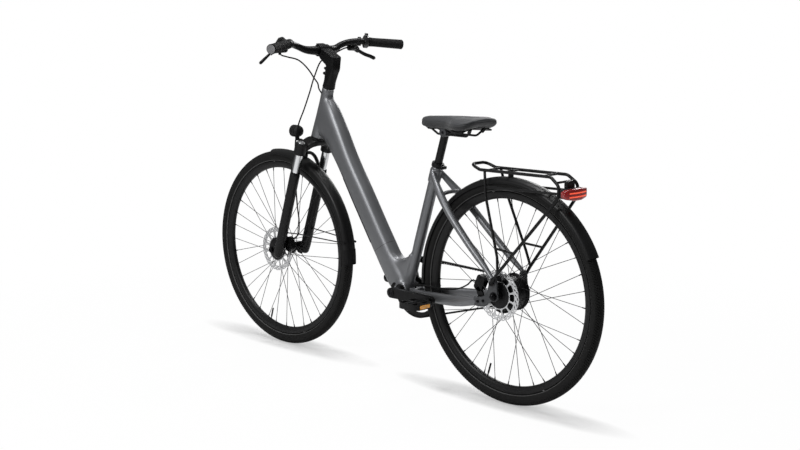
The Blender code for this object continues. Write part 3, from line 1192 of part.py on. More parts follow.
def saddle_ring(ahead, half, top, depth, droop):
    """Section of the pad: flat top, full sides and a hollow underside."""
    ring = []
    for angle in math.tau * (np.arange(16) + 0.5) / 16:
        across = math.copysign(abs(math.cos(angle)) ** 0.55, math.cos(angle))
        rise = math.copysign(abs(math.sin(angle)) ** 0.70, math.sin(angle))
        height = top - depth / 2 + rise * depth / 2 - droop * (0.55 - 0.45 * rise) * across ** 2
        ring.append(POST_HEAD + vec(ahead, across * half, height))
    return ring


def base_ring(ahead, half, top, depth, droop):
    """Section of the shell that follows the underside of the pad."""
    ring = []
    for across, below in ((-1, 0.0050), (-0.4, 0.0052), (0.4, 0.0052), (1, 0.0050),
                          (1, 0.0018), (0.4, 0.0018), (-0.4, 0.0018), (-1, 0.0018)):
        side = across * max(0.5 * half, half - 0.0180)
        ring.append(POST_HEAD + vec(ahead, side, top - depth - below - droop * (side / half) ** 2))
    return ring


def make_saddle():
    solid("saddle_pad", *loft([saddle_ring(*station) for station in SADDLE]), SADDLE_GREY, POST_HEAD)
    base = solid("saddle_base", *loft([base_ring(*station) for station in SADDLE[2:-2]]), PLASTIC, POST_HEAD)
    fuse(base, *(solid("saddle_rail", *tube(rail_path(side), 0.0035, sides=5)) for side in (1, -1)))


def rail_path(side):
    points = [(0.0820, 0.0100, 0.0105), (0.0600, 0.0130, 0.0030), (0.0260, 0.0215, -0.0060),
              (-0.0980, 0.0225, -0.0065), (-0.1200, 0.0335, 0.0150)]
    return bent([POST_HEAD + vec(a, side * s, u) for a, s, u in points], 0.018, 1)


def make_seat_post():
    post = solid("seat_post", *rod(seat(0.2000), seat(0.5600), 0.0130, 12), SATIN_BLACK, POST_HEAD)
    neck = solid("post_neck", *rod(seat(0.5520), POST_HEAD, 0.0120, 10))
    head = solid("post_head", *turned([(0.0140, -0.0155), (0.0140, 0.0155)], POST_HEAD, SIDE, 12))
    fuse(post, neck, head)
    cut(post, solid("head_bore", *rod(POST_HEAD - 0.03 * SIDE, POST_HEAD + 0.03 * SIDE, 0.0037, 8)))
    bolt = rod(POST_HEAD - 0.0265 * SIDE, POST_HEAD + 0.0265 * SIDE, 0.0030, 8)
    clamp = solid("saddle_clamp", *bolt, ALLOY_BLACK, POST_HEAD)
    ways = []
    for side in (1, -1):
        profile = [(0.0138, side * 0.0160), (0.0138, side * 0.0280), (0.0125, side * 0.0292)]
        fuse(clamp, solid("clamp_disc", *turned(profile, POST_HEAD, SIDE, 10)))
        front, rear = (POST_HEAD + vec(ahead, side * 0.0220, -0.0063) for ahead in (0.03, -0.03))
        ways.append(solid("rail_way", *rod(front, rear, 0.0046, 8)))
    cut(clamp, *ways)


def hang(name, place, pieces):
    """Empty on the axis of a joint, with the pieces that move about it hung on it."""
    empty = bpy.data.objects.new(name, None)
    empty.location = place
    bpy.context.scene.collection.objects.link(empty)
    for piece in pieces:
        bpy.data.objects[piece].parent = empty
        bpy.data.objects[piece].matrix_parent_inverse = Matrix.Translation(-Vector(place))


def build():
    clear_scene()
    make_frame()
    make_frame_fittings()
    make_seat_stays()
    make_chain_stays()
    make_dropouts()
    make_rear_mudguard()
    make_rack()
    make_front_wheel()
    make_rear_wheel()
    make_belt()
    make_sprockets()
    for side in (1, -1):
        make_crank(side)
        make_pedal(side)
    make_fork_crown()
    make_fork_lowers()
    make_front_mudguard()
    make_calipers()
    make_stem()
    make_handlebar()
    for side, name in ((1, "left"), (-1, "right")):
        make_master(side, name)
        make_lever(side, name)
    make_hoses()
    make_bell()
    make_remote()
    make_headlight()
    make_lockout_knob()
    make_saddle()
    make_seat_post()
    hang("steering_axis", LOWER_RACE, (
        "fork_crown", "stem", "handlebar", "grip_left", "grip_right", "brake_master_left", "brake_master_right",
        "bell", "remote_housing", "steering_hose", "front_brake_hose"))
    hang("fork_slide", steer(-AXLE_TO_CROWN), ("front_brake_caliper", "front_mudguard", "front_axle"))


build()
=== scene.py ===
import math

import bmesh
import bpy
import numpy as np
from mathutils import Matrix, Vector
from mathutils.geometry import tessellate_polygon


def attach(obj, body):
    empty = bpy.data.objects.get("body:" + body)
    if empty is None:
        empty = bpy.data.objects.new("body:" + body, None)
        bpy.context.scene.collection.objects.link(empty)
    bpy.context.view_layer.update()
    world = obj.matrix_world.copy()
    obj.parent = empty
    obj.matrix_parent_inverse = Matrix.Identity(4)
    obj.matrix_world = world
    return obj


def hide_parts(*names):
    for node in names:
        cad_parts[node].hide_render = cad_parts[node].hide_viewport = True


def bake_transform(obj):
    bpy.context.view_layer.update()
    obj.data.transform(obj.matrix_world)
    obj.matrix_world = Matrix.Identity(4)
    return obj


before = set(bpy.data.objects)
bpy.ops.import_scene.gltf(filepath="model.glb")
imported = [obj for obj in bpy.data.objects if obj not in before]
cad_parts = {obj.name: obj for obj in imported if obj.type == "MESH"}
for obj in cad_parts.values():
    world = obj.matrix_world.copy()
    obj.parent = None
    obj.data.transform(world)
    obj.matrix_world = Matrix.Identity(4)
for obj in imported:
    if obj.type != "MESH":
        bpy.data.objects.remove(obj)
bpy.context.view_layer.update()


# Studio: the bicycle stands on a plain white floor, seen from behind on its left, under a long narrow
# lamp overhead, a soft one on its left, a weaker one on its right and a dim sky. Gloss mirrors more sky
# from above and from ahead on the left.

class Wire:
    """A shader socket that takes part in sums like a number."""

    def __init__(self, paint, socket):
        self.paint, self.socket = paint, socket

    def sum(self, operation, *values):
        return self.paint.node("Math", {"operation": operation}, dict(enumerate(values)))

    def __rsub__(self, other):
        return self.sum("SUBTRACT", other, self)

    def __abs__(self):
        return self.sum("ABSOLUTE", self, 0.0)


for sign, operation in (
        ("add", "ADD"), ("radd", "ADD"), ("sub", "SUBTRACT"), ("mul", "MULTIPLY"), ("rmul", "MULTIPLY"),
        ("truediv", "DIVIDE"), ("pow", "POWER"), ("gt", "GREATER_THAN"), ("lt", "LESS_THAN")):
    setattr(Wire, f"__{sign}__", lambda self, other, operation=operation: self.sum(operation, self, other))


class Paint:
    """A material being mixed on its own node tree."""

    def __init__(self, name, tree=None):
        if tree is None:
            self.material = bpy.data.materials.new(name)
            self.material.use_nodes = True
            tree = self.material.node_tree
        self.tree = tree
        self.shader = tree.nodes.get("Principled BSDF")

    def put(self, socket, value):
        if isinstance(value, Wire):
            self.tree.links.new(value.socket, socket)
        elif hasattr(socket.default_value, "__len__") and not isinstance(value, (int, float)):
            room = len(socket.default_value)
            socket.default_value = (*value, 1.0)[:room]
        else:
            socket.default_value = value

    def node(self, kind, settings=None, sockets=None, out=0):
        """Adds a node: its settings first, then the values or links of its sockets."""
        node = self.tree.nodes.new("ShaderNode" + kind)
        for key, value in (settings or {}).items():
            if key == "stops":
                ramp = node.color_ramp.elements
                while len(ramp) < len(value):
                    ramp.new(1.0)
                for stop, (place, colour) in zip(ramp, value):
                    stop.position, stop.color = place, (*colour, 1.0)
            else:
                setattr(node, key, value)
        for key, value in (sockets or {}).items():
            self.put(node.inputs[key], value)
        return Wire(self, node.outputs[out])

    def axes(self, place=None):
        """The x, y and z of a point on the piece, in metres."""
        place = place or self.node("TexCoord", out="Object")
        split = self.tree.nodes.new("ShaderNodeSeparateXYZ")
        self.tree.links.new(place.socket, split.inputs[0])
        return [Wire(self, socket) for socket in split.outputs]

    def noise(self, scale, detail=3.0, roughness=0.5, place=None):
        place = place or self.node("TexCoord", out="Object")
        return self.node(
            "TexNoise", {}, {"Vector": place, "Scale": scale, "Detail": detail, "Roughness": roughness})

    def blend(self, mask, low, high):
        """Colour that runs from low to high as the mask goes from 0 to 1."""
        return self.node("Mix", {"data_type": "RGBA"}, {0: mask, 6: low, 7: high}, out=2)

    def bump(self, height, depth):
        """Normal of a height field from 0 to 1 that stands depth metres high."""
        return self.node("Bump", {}, {"Height": height, "Distance": depth})

    def clamp(self, value):
        return self.node("Clamp", {}, {"Value": value})

    def rays(self, *kinds):
        """1 for a ray of the kind named, such as Camera, and 0 for any other."""
        path = self.tree.nodes.new("ShaderNodeLightPath")
        return [Wire(self, path.outputs[f"Is {kind} Ray"]) for kind in kinds]

    def wear(self, **sockets):
        """Fills the shader's own sockets; an underscore stands for a space."""
        for key, value in sockets.items():
            self.put(self.shader.inputs[key.replace("_", " ")], value)
        return self.material


def studio():
    scene = bpy.context.scene
    scene.view_settings.view_transform = "Standard"
    world = bpy.data.worlds.new("white_studio")
    world.use_nodes = True
    scene.world = world
    sky = Paint("sky", world.node_tree)
    seen, mirrored, clear = sky.rays("Camera", "Glossy", "Transmission")
    ahead, left, height = sky.axes(sky.node("TexCoord", out="Generated"))
    bright = sky.clamp(height) * 0.25 + sky.clamp(ahead + left) * 0.22
    back = world.node_tree.nodes["Background"]
    plain = sky.clamp(seen + clear)
    sky.put(back.inputs["Strength"], (0.1 * (1 - mirrored) + mirrored * (0.07 + bright)) * (1 - plain) + plain)
    back.inputs["Color"].default_value = (1, 1, 1, 1)
    for name, place, aim, size, power in (
            ("top_lamp", (0.0, 0.0, 4.2), (-0.1, 0.0, 0.45), (3.6, 0.4), 115.0),
            ("left_lamp", (0.35, 4.08, 2.6), (0.0, 0.0, 0.55), (1.3, 1.0), 85.0),
            ("right_lamp", (1.6, -3.8, 2.4), (0.0, 0.0, 0.55), (1.6, 1.2), 42.0)):
        lamp = bpy.data.lights.new(name, "AREA")
        lamp.shape, lamp.size, lamp.size_y, lamp.energy = "RECTANGLE", size[0], size[1], power
        lamp_object = bpy.data.objects.new(name, lamp)
        lamp_object.location = place
        lamp_object.rotation_euler = (Vector(aim) - Vector(place)).to_track_quat("-Z", "Y").to_euler()
        scene.collection.objects.link(lamp_object)

    floor_mesh = bpy.data.meshes.new("studio_floor")
    reach = 40
    corners = [(x * reach, y * reach, 0) for x, y in ((-1, -1), (1, -1), (1, 1), (-1, 1))]
    floor_mesh.from_pydata(corners, [], [(0, 1, 2, 3)])
    floor = bpy.data.objects.new("studio_floor", floor_mesh)
    scene.collection.objects.link(floor)
    white = Paint("floor_white")
    white.wear(Base_Color=(0.93, 0.93, 0.93), Roughness=0.9, Specular_IOR_Level=0.1)
    seen, = white.rays("Camera")
    lit = white.node("Emission", {}, {"Color": (1, 1, 1), "Strength": 1.0})
    x, y, z = white.axes()
    # the shadow shows in a long ellipse under each wheel, and fades out around the bicycle
    wheel_at, shade_length, shade_width, fade_end = 0.535, 0.5, 0.085, 2.2
    near = sum(
        white.clamp(1.0 - (abs(x - at) / shade_length) ** 2 - (abs(y) / shade_width) ** 2)
        for at in (wheel_at, -wheel_at))
    around = white.clamp(fade_end - (x * x + y * y) ** 0.5)
    plain = 1.0 - 0.03 * around - 0.59 * white.clamp(1.6 * near)
    lift = white.node("MixShader", {}, {0: plain * seen, 1: Wire(white, white.shader.outputs[0]), 2: lit})
    white.tree.links.new(lift.socket, white.tree.nodes["Material Output"].inputs["Surface"])
    floor_mesh.materials.append(white.material)

    camera = bpy.data.objects.new("camera", bpy.data.cameras.new("camera"))
    camera.data.sensor_width, camera.data.lens = 36.0, 59.08
    camera.location = (-3.0863, 3.0786, 1.2636)
    yaw, pitch = math.radians(-45.4816), math.radians(-9.8764)
    ahead = Vector((math.cos(pitch) * math.cos(yaw), math.cos(pitch) * math.sin(yaw), math.sin(pitch)))
    camera.rotation_euler = ahead.to_track_quat("-Z", "Y").to_euler()
    scene.collection.objects.link(camera)
    scene.camera = camera


studio()


# Brake hoses: thin black hydraulic hoses, one from each lever. The left one loops down into the head
# tube, the right one hangs along the fork to the front caliper, and the rear run surfaces at the stays.

def mm(*values):
    """Lengths or points given in millimetres, as an array in metres."""
    return np.array(values, float) / 1000


AHEAD, SIDE, UP = np.eye(3)
HEAD_ANGLE, SEAT_ANGLE = math.radians(72.0), math.radians(72.9)
STEER_UP = np.array((-math.cos(HEAD_ANGLE), 0.0, math.sin(HEAD_ANGLE)))
STEER_AHEAD = np.array((math.sin(HEAD_ANGLE), 0.0, math.cos(HEAD_ANGLE)))
FRONT_AXLE, REAR_AXLE = mm(535, 0, 356), mm(-535, 0, 356)
LOWER_RACE = FRONT_AXLE - 0.051 * STEER_AHEAD + 0.457 * STEER_UP


def unit(vector):
    return np.asarray(vector, float) / np.linalg.norm(vector)


def steer(up, ahead=0.0, side=0.0):
    """Point given along the steering axis from the lower race, ahead of it and to the left."""
    return LOWER_RACE + up * STEER_UP + ahead * STEER_AHEAD + side * SIDE


def smooth_line(points, count):
    """Curve through the points at even distances: on each span a cubic whose slopes at both ends are
    the gradient of the points over the length of the chords."""
    points = np.asarray(points, float)
    lengths = np.r_[0.0, np.cumsum(np.linalg.norm(np.diff(points[:, :3], axis=0), axis=1))]
    slopes = np.gradient(points, lengths, axis=0)
    at = np.linspace(0.0, lengths[-1], count)
    i = np.clip(np.searchsorted(lengths, at, "right") - 1, 0, len(points) - 2)
    span = (lengths[i + 1] - lengths[i])[:, None]
    t = (at - lengths[i])[:, None] / span
    return (
        (2 * t ** 3 - 3 * t ** 2 + 1) * points[i] + (t ** 3 - 2 * t ** 2 + t) * span * slopes[i]
        + (3 * t ** 2 - 2 * t ** 3) * points[i + 1] + (t ** 3 - t ** 2) * span * slopes[i + 1])


def oval(count, power, start=0.5):
    """Points round a superellipse of half size 1: cosine and sine, raised to 2 / power, signs kept."""
    angle = math.tau * (np.arange(count) + start) / count
    c, s = np.cos(angle), np.sin(angle)
    return np.sign(c) * np.abs(c) ** (2 / power), np.sign(s) * np.abs(s) ** (2 / power)


def tube(path, across, along=None, sides=24, reference=(0, 0, 1), power=2.0):
    """Skin over rings round a path. Each is a superellipse in the plane square to the path, scaled by
    the half sizes across and along the reference direction."""
    path = np.asarray(path, float)
    across = np.broadcast_to(np.asarray(across, float), len(path))
    along = across if along is None else np.broadcast_to(np.asarray(along, float), len(path))
    way = np.gradient(path, axis=0)
    way /= np.linalg.norm(way, axis=1)[:, None]
    side = np.cross(np.asarray(reference, float), way)
    side /= np.linalg.norm(side, axis=1)[:, None]
    up = np.cross(way, side)
    u, v = oval(sides, power, 0.0)
    return shape(
        path[:, None] + side[:, None] * (across[:, None] * u)[..., None]
        + up[:, None] * (along[:, None] * v)[..., None])


def grid_faces(rows, columns, loop):
    """Quads between each point of a grid, the next point round and the next row."""
    i = np.arange(rows if loop else rows - 1)[:, None] * columns
    j = np.arange(columns)[None, :]
    k = (j + 1) % columns
    after = (i + columns) % (rows * columns)
    return np.stack((i + j, i + k, after + k, after + j), -1).reshape(-1, 4)


def shape(rings, loop=False):
    """Closed skin over rings of points: quads along it, one flat face at each open end."""
    rings = np.asarray(rings, float)
    rows, columns = rings.shape[:2]
    faces = [tuple(face) for face in grid_faces(rows, columns, loop).tolist()]
    if not loop:
        faces.append(tuple(range(columns))[::-1])
        faces.append(tuple(range((rows - 1) * columns, rows * columns)))
    return rings.reshape(-1, 3), faces


def gathered(shapes):
    """Several shapes in one list of points and faces."""
    starts = np.cumsum([0] + [len(points) for points, _ in shapes])
    faces = [tuple(int(start) + i for i in face) for start, (_, group) in zip(starts, shapes) for face in group]
    return np.vstack([points for points, _ in shapes]), faces


def piece(name, shapes, material, crease=32.0, outward=True):
    """Object from shapes, with faces pointing out, smooth but for edges sharper than crease degrees."""
    points, faces = gathered(shapes)
    mesh = bpy.data.meshes.new(name)
    mesh.from_pydata(points.tolist(), [], faces)
    if outward:
        work = bmesh.new()
        work.from_mesh(mesh)
        bmesh.ops.recalc_face_normals(work, faces=work.faces)
        work.to_mesh(mesh)
        work.free()
    mesh.shade_smooth()
    mesh.set_sharp_from_angle(angle=math.radians(crease))
    mesh.materials.append(material)
    made = bpy.data.objects.new(name, mesh)
    bpy.context.scene.collection.objects.link(made)
    return made


def fixed(made, body, *nodes, slot):
    """The piece rides on a body and stands for its solids; its slot argument is not used."""
    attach(made, body)
    if nodes:
        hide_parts(*nodes)


SLOTS = {
    "soft_black_rubber": "rubber", "moulded_black_plastic": "plastic", "brushed_steel": "steel",
    "blackened_bolt_steel": "steel", "black_anodised_alloy": "black_alloy", "satin_black_paint": "black_paint"}


def part(name, shapes, material, body, *nodes, slot=None, crease=32.0, ease=(), outward=True):
    """A piece fixed on its body; its slot, its material's own unless told another, is passed to fixed,
    which does not use it. ease holds the width and count of the steps that round its edges."""
    made = piece(name, shapes, material, crease, outward)
    if ease:
        eased(made, *ease)
    fixed(made, body, *nodes, slot=slot or SLOTS[material.name])


def hazed(name, haze, roughness, spread, **sockets):
    """Plain finish; soft clouds, given by their scale and detail, add up to spread to its roughness."""
    paint = Paint(name)
    return paint.wear(Roughness=roughness + spread * paint.noise(*haze), **sockets)


def soft_rubber():
    paint = Paint("soft_black_rubber")
    grain = paint.noise(900.0, 4.0)
    worn = paint.noise(60.0)
    return paint.wear(
        Base_Color=paint.blend(worn, (0.0045, 0.0045, 0.0048), (0.009, 0.009, 0.0094)),
        Roughness=0.62 + 0.2 * worn, Normal=paint.bump(grain, 0.00008), Specular_IOR_Level=0.15)


RUBBER = soft_rubber()


def brake_points(side):
    """Ends of a master cylinder, lever pivot and tip, and the axis that a pull turns the lever about."""
    shift, drop = (0.0, 0.0) if side > 0 else (-0.014, -0.002)
    inner, pivot, tip = (
        (mm(x, y, z) + (0, shift, drop)) * (1, side, 1) for x, y, z in (
            (330, 150, 1087), (345, 208, 1077), (325, 269, 1047)))
    grip = np.array((0.247, side * (0.269 + shift), 1.098))
    axis = unit(np.cross(tip - pivot, grip - tip))
    reach = pivot - inner
    outer = pivot - 0.014 * unit(reach - axis * np.dot(reach, axis))
    return inner, outer, pivot, tip, axis


def hose_routes():
    inner, outer = brake_points(1)[:2]
    port = inner + 0.55 * (outer - inner) + (0.0, 0.0, -0.0124)
    hole = (steer(0.146, 0.003, 0.0045), steer(0.176, 0.0175, 0.0265))
    steering = [
        port, port + mm(1, -5, -4), *mm((340, 145, 1062), (339, 88, 1046.5), (327, 51, 1009), (317, 40, 985)),
        steer(0.196, 0.024, 0.033), hole[1], 0.25 * hole[0] + 0.75 * hole[1], 0.5 * hole[0] + 0.5 * hole[1]]
    inner, outer = brake_points(-1)[:2]
    back = unit(inner - outer)
    front = [
        inner + 0.0016 * back, inner + 0.013 * back, *mm(
            (339, -60, 1060), (345, -20, 1043), (358, 0, 993), (383, 4, 930), (405, 12, 869), (422, 22, 820),
            (429, 30, 770), (428, 36, 710), (421, 41, 620), (413, 42, 532), (404, 42, 462), (412, 41, 424),
            (438, 40, 407), (453, 39.5, 401))]
    rear = mm(
        (-148, 18, 314.2), (-148, 18, 320), (-164, 27, 329), (-200, 33, 333), (-279, 40, 336), (-370, 48, 352),
        (-410, 52, 372), (-434, 53, 390), (-446.3, 53, 384.6))
    return (
        ("steering_hose", "steering", steering, (0.3, 1.0, 0.2)),
        ("front_brake_hose", "steering", front, (0.2, 1.0, 0.1)),
        ("rear_brake_hose", "frame", rear, (0.1, 1.0, 0.2)))


for name, body, route, reference in hose_routes():
    path = smooth_line(route, 24 if body == "frame" else 70)
    hose = piece(f"{name}_line", [tube(path, 0.0025, sides=12, reference=reference)], RUBBER)
    if name == "front_brake_hose":
        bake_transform(hose)
        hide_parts(name)
    else:
        fixed(hose, body, name, slot="rubber")
    length = float(np.linalg.norm(np.diff(path, axis=0), axis=1).sum())


# Main frame: aluminium tubes shaped by water pressure and welded, with the welds smoothed over. A deep
# down tube grows out of the head tube and rounds into the seat tube above the cranks; satin grey paint.

BRACKET = np.array((-0.098108, 0.0, 0.3))
SEAT_UP = np.array((-math.cos(SEAT_ANGLE), 0.0, math.sin(SEAT_ANGLE)))
SEAT_AHEAD = np.array((math.sin(SEAT_ANGLE), 0.0, math.cos(SEAT_ANGLE)))
SEAT_TUBE_RADIUS, HEAD_TUBE = 0.0174, 0.186


def seat(up, ahead=0.0, side=0.0):
    """Point given along the seat tube from the bottom bracket, ahead of it and to the left."""
    return BRACKET + up * SEAT_UP + ahead * SEAT_AHEAD + side * SIDE


def lathe(profile, centre, axis, count=64, ring=False):
    """Profile of (radius, height) points turned round an axis: each point goes round a circle of its
    radius at its height. A ring profile closes on itself."""
    axis = unit(axis)
    first = unit(np.cross(axis, (0.0, 0.0, 1.0) if abs(axis[2]) < 0.9 else (1.0, 0.0, 0.0)))
    second = np.cross(axis, first)
    angle = math.tau * np.arange(count) / count
    out = np.cos(angle)[:, None] * first + np.sin(angle)[:, None] * second
    profile = np.asarray(profile, float)
    rings = np.asarray(centre) + profile[:, None, :1] * out + profile[:, None, 1:] * axis
    return shape(rings, ring)


def turned(profile, *settings):
    """The same for a profile in millimetres."""
    return lathe(mm(*profile), *settings)


def bar(start, end, radius, count):
    start, end = np.asarray(start, float), np.asarray(end, float)
    return lathe([(radius, 0.0), (radius, float(np.linalg.norm(end - start)))], start, end - start, count)


def plate(loops, half, centre, right, up):
    """Flat plate from an outer outline and holes in the (right, up) plane, half thick each way."""
    right, up = np.asarray(right, float), np.asarray(up, float)
    out = np.cross(right, up)
    flat = np.vstack([np.asarray(loop, float) for loop in loops])
    triangles = tessellate_polygon([[Vector((u, v, 0.0)) for u, v in loop] for loop in loops])
    base = np.asarray(centre) + flat[:, :1] * right + flat[:, 1:] * up
    count, start = len(flat), 0
    faces = [tuple(t) for t in triangles] + [tuple(i + count for i in reversed(t)) for t in triangles]
    for loop in loops:
        i = np.arange(len(loop))
        j = (i + 1) % len(loop)
        faces += [tuple(f) for f in (start + np.stack((i, j, j + count, i + count), -1)).tolist()]
        start += len(loop)
    return np.vstack((base - half * out, base + half * out)), faces


def arc(radius, start, end, count, centre=(0.0, 0.0)):
    """Points on an arc, angles in degrees."""
    angle = np.radians(np.linspace(start, end, count))
    return np.stack((centre[0] + radius * np.cos(angle), centre[1] + radius * np.sin(angle)), -1)


def round_out(angle):
    """Directions in the middle plane at these angles above straight ahead."""
    return np.stack((np.cos(angle), 0 * angle, np.sin(angle)), -1)


def ray_out(degrees):
    return round_out(np.radians(degrees))


def spots(mesh, what="co"):
    """Place, or normal, of every vertex."""
    values = np.empty(len(mesh.vertices) * 3)
    mesh.vertices.foreach_get(what, values)
    return values.reshape(-1, 3)


def settled(made, material):
    """The piece with its modifiers worked into its mesh."""
    mesh = bpy.data.meshes.new_from_object(made.evaluated_get(bpy.context.evaluated_depsgraph_get()))
    made.modifiers.clear()
    made.data = mesh
    mesh.materials.clear()
    mesh.materials.append(material)
    return made


def welded(name, shapes, material, voxel, rounds):
    """One skin round overlapping shapes: voxels of that size join them, and rounds of smoothing draw
    each corner into a fillet."""
    made = piece(name, shapes, material)
    mesh = made.modifiers.new("join", "REMESH")
    mesh.mode, mesh.voxel_size, mesh.use_smooth_shade = "VOXEL", voxel, True
    ease = made.modifiers.new("fillet", "SMOOTH")
    ease.factor, ease.iterations = 0.5, rounds
    settled(made, material)
    made.data.shade_smooth()
    made.data.set_sharp_from_angle(angle=math.radians(60.0))
    return made


def relaxed(made, zones, rounds):
    """Draws each point half way to the mean of its neighbours in every round, scaled by a cubic that
    falls from 1 at the centre of the nearest zone to 0 at that zone's radius."""
    mesh, points = made.data, spots(made.data)
    pairs = np.empty(len(mesh.edges) * 2, dtype=np.int32)
    mesh.edges.foreach_get("vertices", pairs)
    start, end = pairs.reshape(-1, 2).T
    degree = np.bincount(pairs, minlength=len(points))[:, None]
    share = np.max([
        1 - soft_step(np.linalg.norm(points - centre, axis=1), radius / 2, radius) for centre, radius in zones],
        axis=0)[:, None]
    for _ in range(rounds):
        total = np.stack([
            np.bincount(start, points[end, k], len(points)) + np.bincount(end, points[start, k], len(points))
            for k in range(3)], -1)
        points += 0.5 * share * (total / degree - points)
    mesh.vertices.foreach_set("co", points.ravel())
    mesh.update()


def soft_step(value, edge, width):
    """0 below the edge and 1 above it, with a cubic ramp of this width between."""
    t = np.clip((value - edge) / width + 0.5, 0, 1)
    return t * t * (3 - 2 * t)


def soft_band(value, low, rise, high, fall):
    """1 between low and high, with a soft step up at one and down at the other."""
    return soft_step(value, low, rise) * (1 - soft_step(value, high, fall))


TUBE_RISE, TUBE_MIDDLE = math.radians(146.7), mm(3.5, 0, 418.5)
# centre x, centre z, half depth, lean of the section in degrees, half width
DOWN_TUBE = np.array((
    (313, 864, 74, 108, 25), (290, 844, 70, 112, 28.5), (250, 796, 54, 124, 30.5), (215, 741, 45, 143, 31),
    (109, 578, 43, 146.5, 31.5), (3.5, 418.5, 43, 146.5, 32), (-33, 366, 44, 144, 32.5),
    (-64, 327, 44, 136, 33), (-90, 296, 34, 120, 33), (-102, 274, 20, 110, 30))) / (1000, 1000, 1000, 1, 1000)


def down_tube_rings(count=72, sides=56, grow=0.0):
    """Superellipse sections of power 2.6; their centre, half depth, lean and half width run smoothly
    along the tube."""
    x, z, _, depth, lean, width = smooth_line(np.insert(DOWN_TUBE, 2, 0.0, axis=1), count).T
    lean = np.radians(lean)
    along = round_out(lean) * (depth + grow)[:, None]
    u, v = oval(sides, 2.6)
    centre = np.stack((x, 0 * x, z), -1)
    return (
        centre[:, None] + u[None, :, None] * along[:, None]
        + (width + grow)[:, None, None] * v[None, :, None] * SIDE)


def valley_shape():
    """Web between the down tube and the seat tube: its upper edge is an arc that touches both."""
    radius = 0.04
    tube_out = round_out(TUBE_RISE)
    tube_edge = TUBE_MIDDLE + 0.0425 * tube_out
    seat_edge = seat(0.0, SEAT_TUBE_RADIUS - 0.0012)
    sides = np.array([tube_out[[0, 2]], SEAT_AHEAD[[0, 2]]])
    reach = [np.dot(tube_edge, tube_out) + radius, np.dot(seat_edge, SEAT_AHEAD) + radius]
    middle = np.linalg.solve(sides, reach)
    start = math.degrees(math.atan2(-tube_out[2], -tube_out[0]))
    end = math.degrees(math.atan2(-SEAT_AHEAD[2], -SEAT_AHEAD[0]))
    outline = [tuple(middle - (radius + 0.03) * tube_out[[0, 2]])]
    outline += [tuple(p) for p in arc(radius, start, end, 24, middle)]
    outline += [
        tuple(middle - (radius + 0.012) * SEAT_AHEAD[[0, 2]]), (BRACKET[0], BRACKET[2] + 0.01), (-0.045, 0.33)]
    return plate([outline], 0.0225, (0.0, 0.0, 0.0), AHEAD, UP)


def frame_paint():
    """Satin grey metallic: fine flake in the colour, orange peel in the clear coat, and one closed
    joint line above the lower node."""
    paint = Paint("satin_grey_frame_paint")
    flake = paint.noise(2600.0, 2.0, 0.7)
    cloud = paint.noise(9.0, 2.0)
    x, y, z = paint.axes()
    down = (x - TUBE_MIDDLE[0]) * -math.sin(TUBE_RISE) + (z - TUBE_MIDDLE[2]) * math.cos(TUBE_RISE)
    seam = (abs(down + 0.013) < 0.00055) * (z > 0.33) * (x > -0.06) * (z < 0.5)
    peel = paint.noise(420.0, 1.0)
    colour = paint.blend(0.5 * flake + 0.5 * cloud, (0.12, 0.123, 0.13), (0.205, 0.21, 0.22))
    return paint.wear(
        Base_Color=paint.blend(seam, colour, (0.02, 0.02, 0.021)), Metallic=0.75, Roughness=0.39 + 0.06 * cloud,
        Coat_Weight=0.3, Coat_Roughness=0.3, Normal=paint.bump(peel - seam, 0.00006))


FRAME_GREY = frame_paint()
head_tube = turned(
    [(25, 3), (24.7, 20), (24, 40), (22.4, 90), (21.7, 140), (21.6, 186)], LOWER_RACE, STEER_UP, 72)
seat_tube = bar(seat(0.0), seat(0.4432), SEAT_TUBE_RADIUS + 0.0002, 64)
bracket_shell = turned([(24.7, -36.5), (24.7, 36.5)], BRACKET, SIDE, 72)
tubes = [shape(down_tube_rings()), head_tube, seat_tube, bracket_shell, valley_shape()]
frame_shell = welded("main_frame_skin", tubes, FRAME_GREY, 0.0022, 7)
joints = [
    (steer(0.04, -0.012), 0.036), (steer(0.08, -0.02), 0.055), (steer(0.13, -0.018), 0.06),
    (steer(0.162, -0.022), 0.046), (mm(-50, 0, 385), 0.085), (BRACKET + (0.01, 0.0, 0.03), 0.06)]
relaxed(frame_shell, joints, 110)
relaxed(frame_shell, [(seat(0.1278, 0.012), 0.055)], 45)
fixed(frame_shell, "frame", "main_frame", slot="frame_paint")


# Battery cover: the long lid under the down tube that the battery pack is bolted to. It is drawn from
# the tube's own section, stands just proud of it, and is moulded in black plastic.

def moulded_plastic(name="moulded_black_plastic", low=(0.006, 0.006, 0.0063), high=(0.011, 0.0113, 0.0118)):
    paint = Paint(name)
    grain = paint.node("TexVoronoi", {}, {"Scale": 1500.0})
    cloud = paint.noise(40.0)
    return paint.wear(
        Base_Color=paint.blend(cloud, low, high), Roughness=0.46 + 0.14 * cloud,
        Normal=paint.bump(grain, 0.00005), Specular_IOR_Level=0.2)


PLASTIC = moulded_plastic()


def battery_lid():
    """Strip of the tube's skin, from 0.7 mm outside it to 2 mm inside: the sections from first to last,
    and of each the points within half, in radians, of its lowest one."""
    count, first, last, half = 96, 33, 66, 1.02
    outer, inner = down_tube_rings(count, count, 0.0007), down_tube_rings(count, count, -0.002)
    angle = math.tau * (np.arange(count) + 0.5) / count
    below = np.arctan2(np.sin(angle), -np.cos(angle))
    under = np.flatnonzero(np.abs(below) < half)
    under = under[np.argsort(below[under])]
    return shape(np.concatenate((outer[first:last, under], inner[first:last, under[::-1]]), axis=1))


part("battery_lid", [battery_lid()], PLASTIC, "frame", "battery_pack", crease=40.0)


# Seat stays: two round tubes bent out from a collar behind the seat clamp and down to the dropouts,
# with a short bridge that the mudguard hangs from. Welded aluminium in the frame's paint.

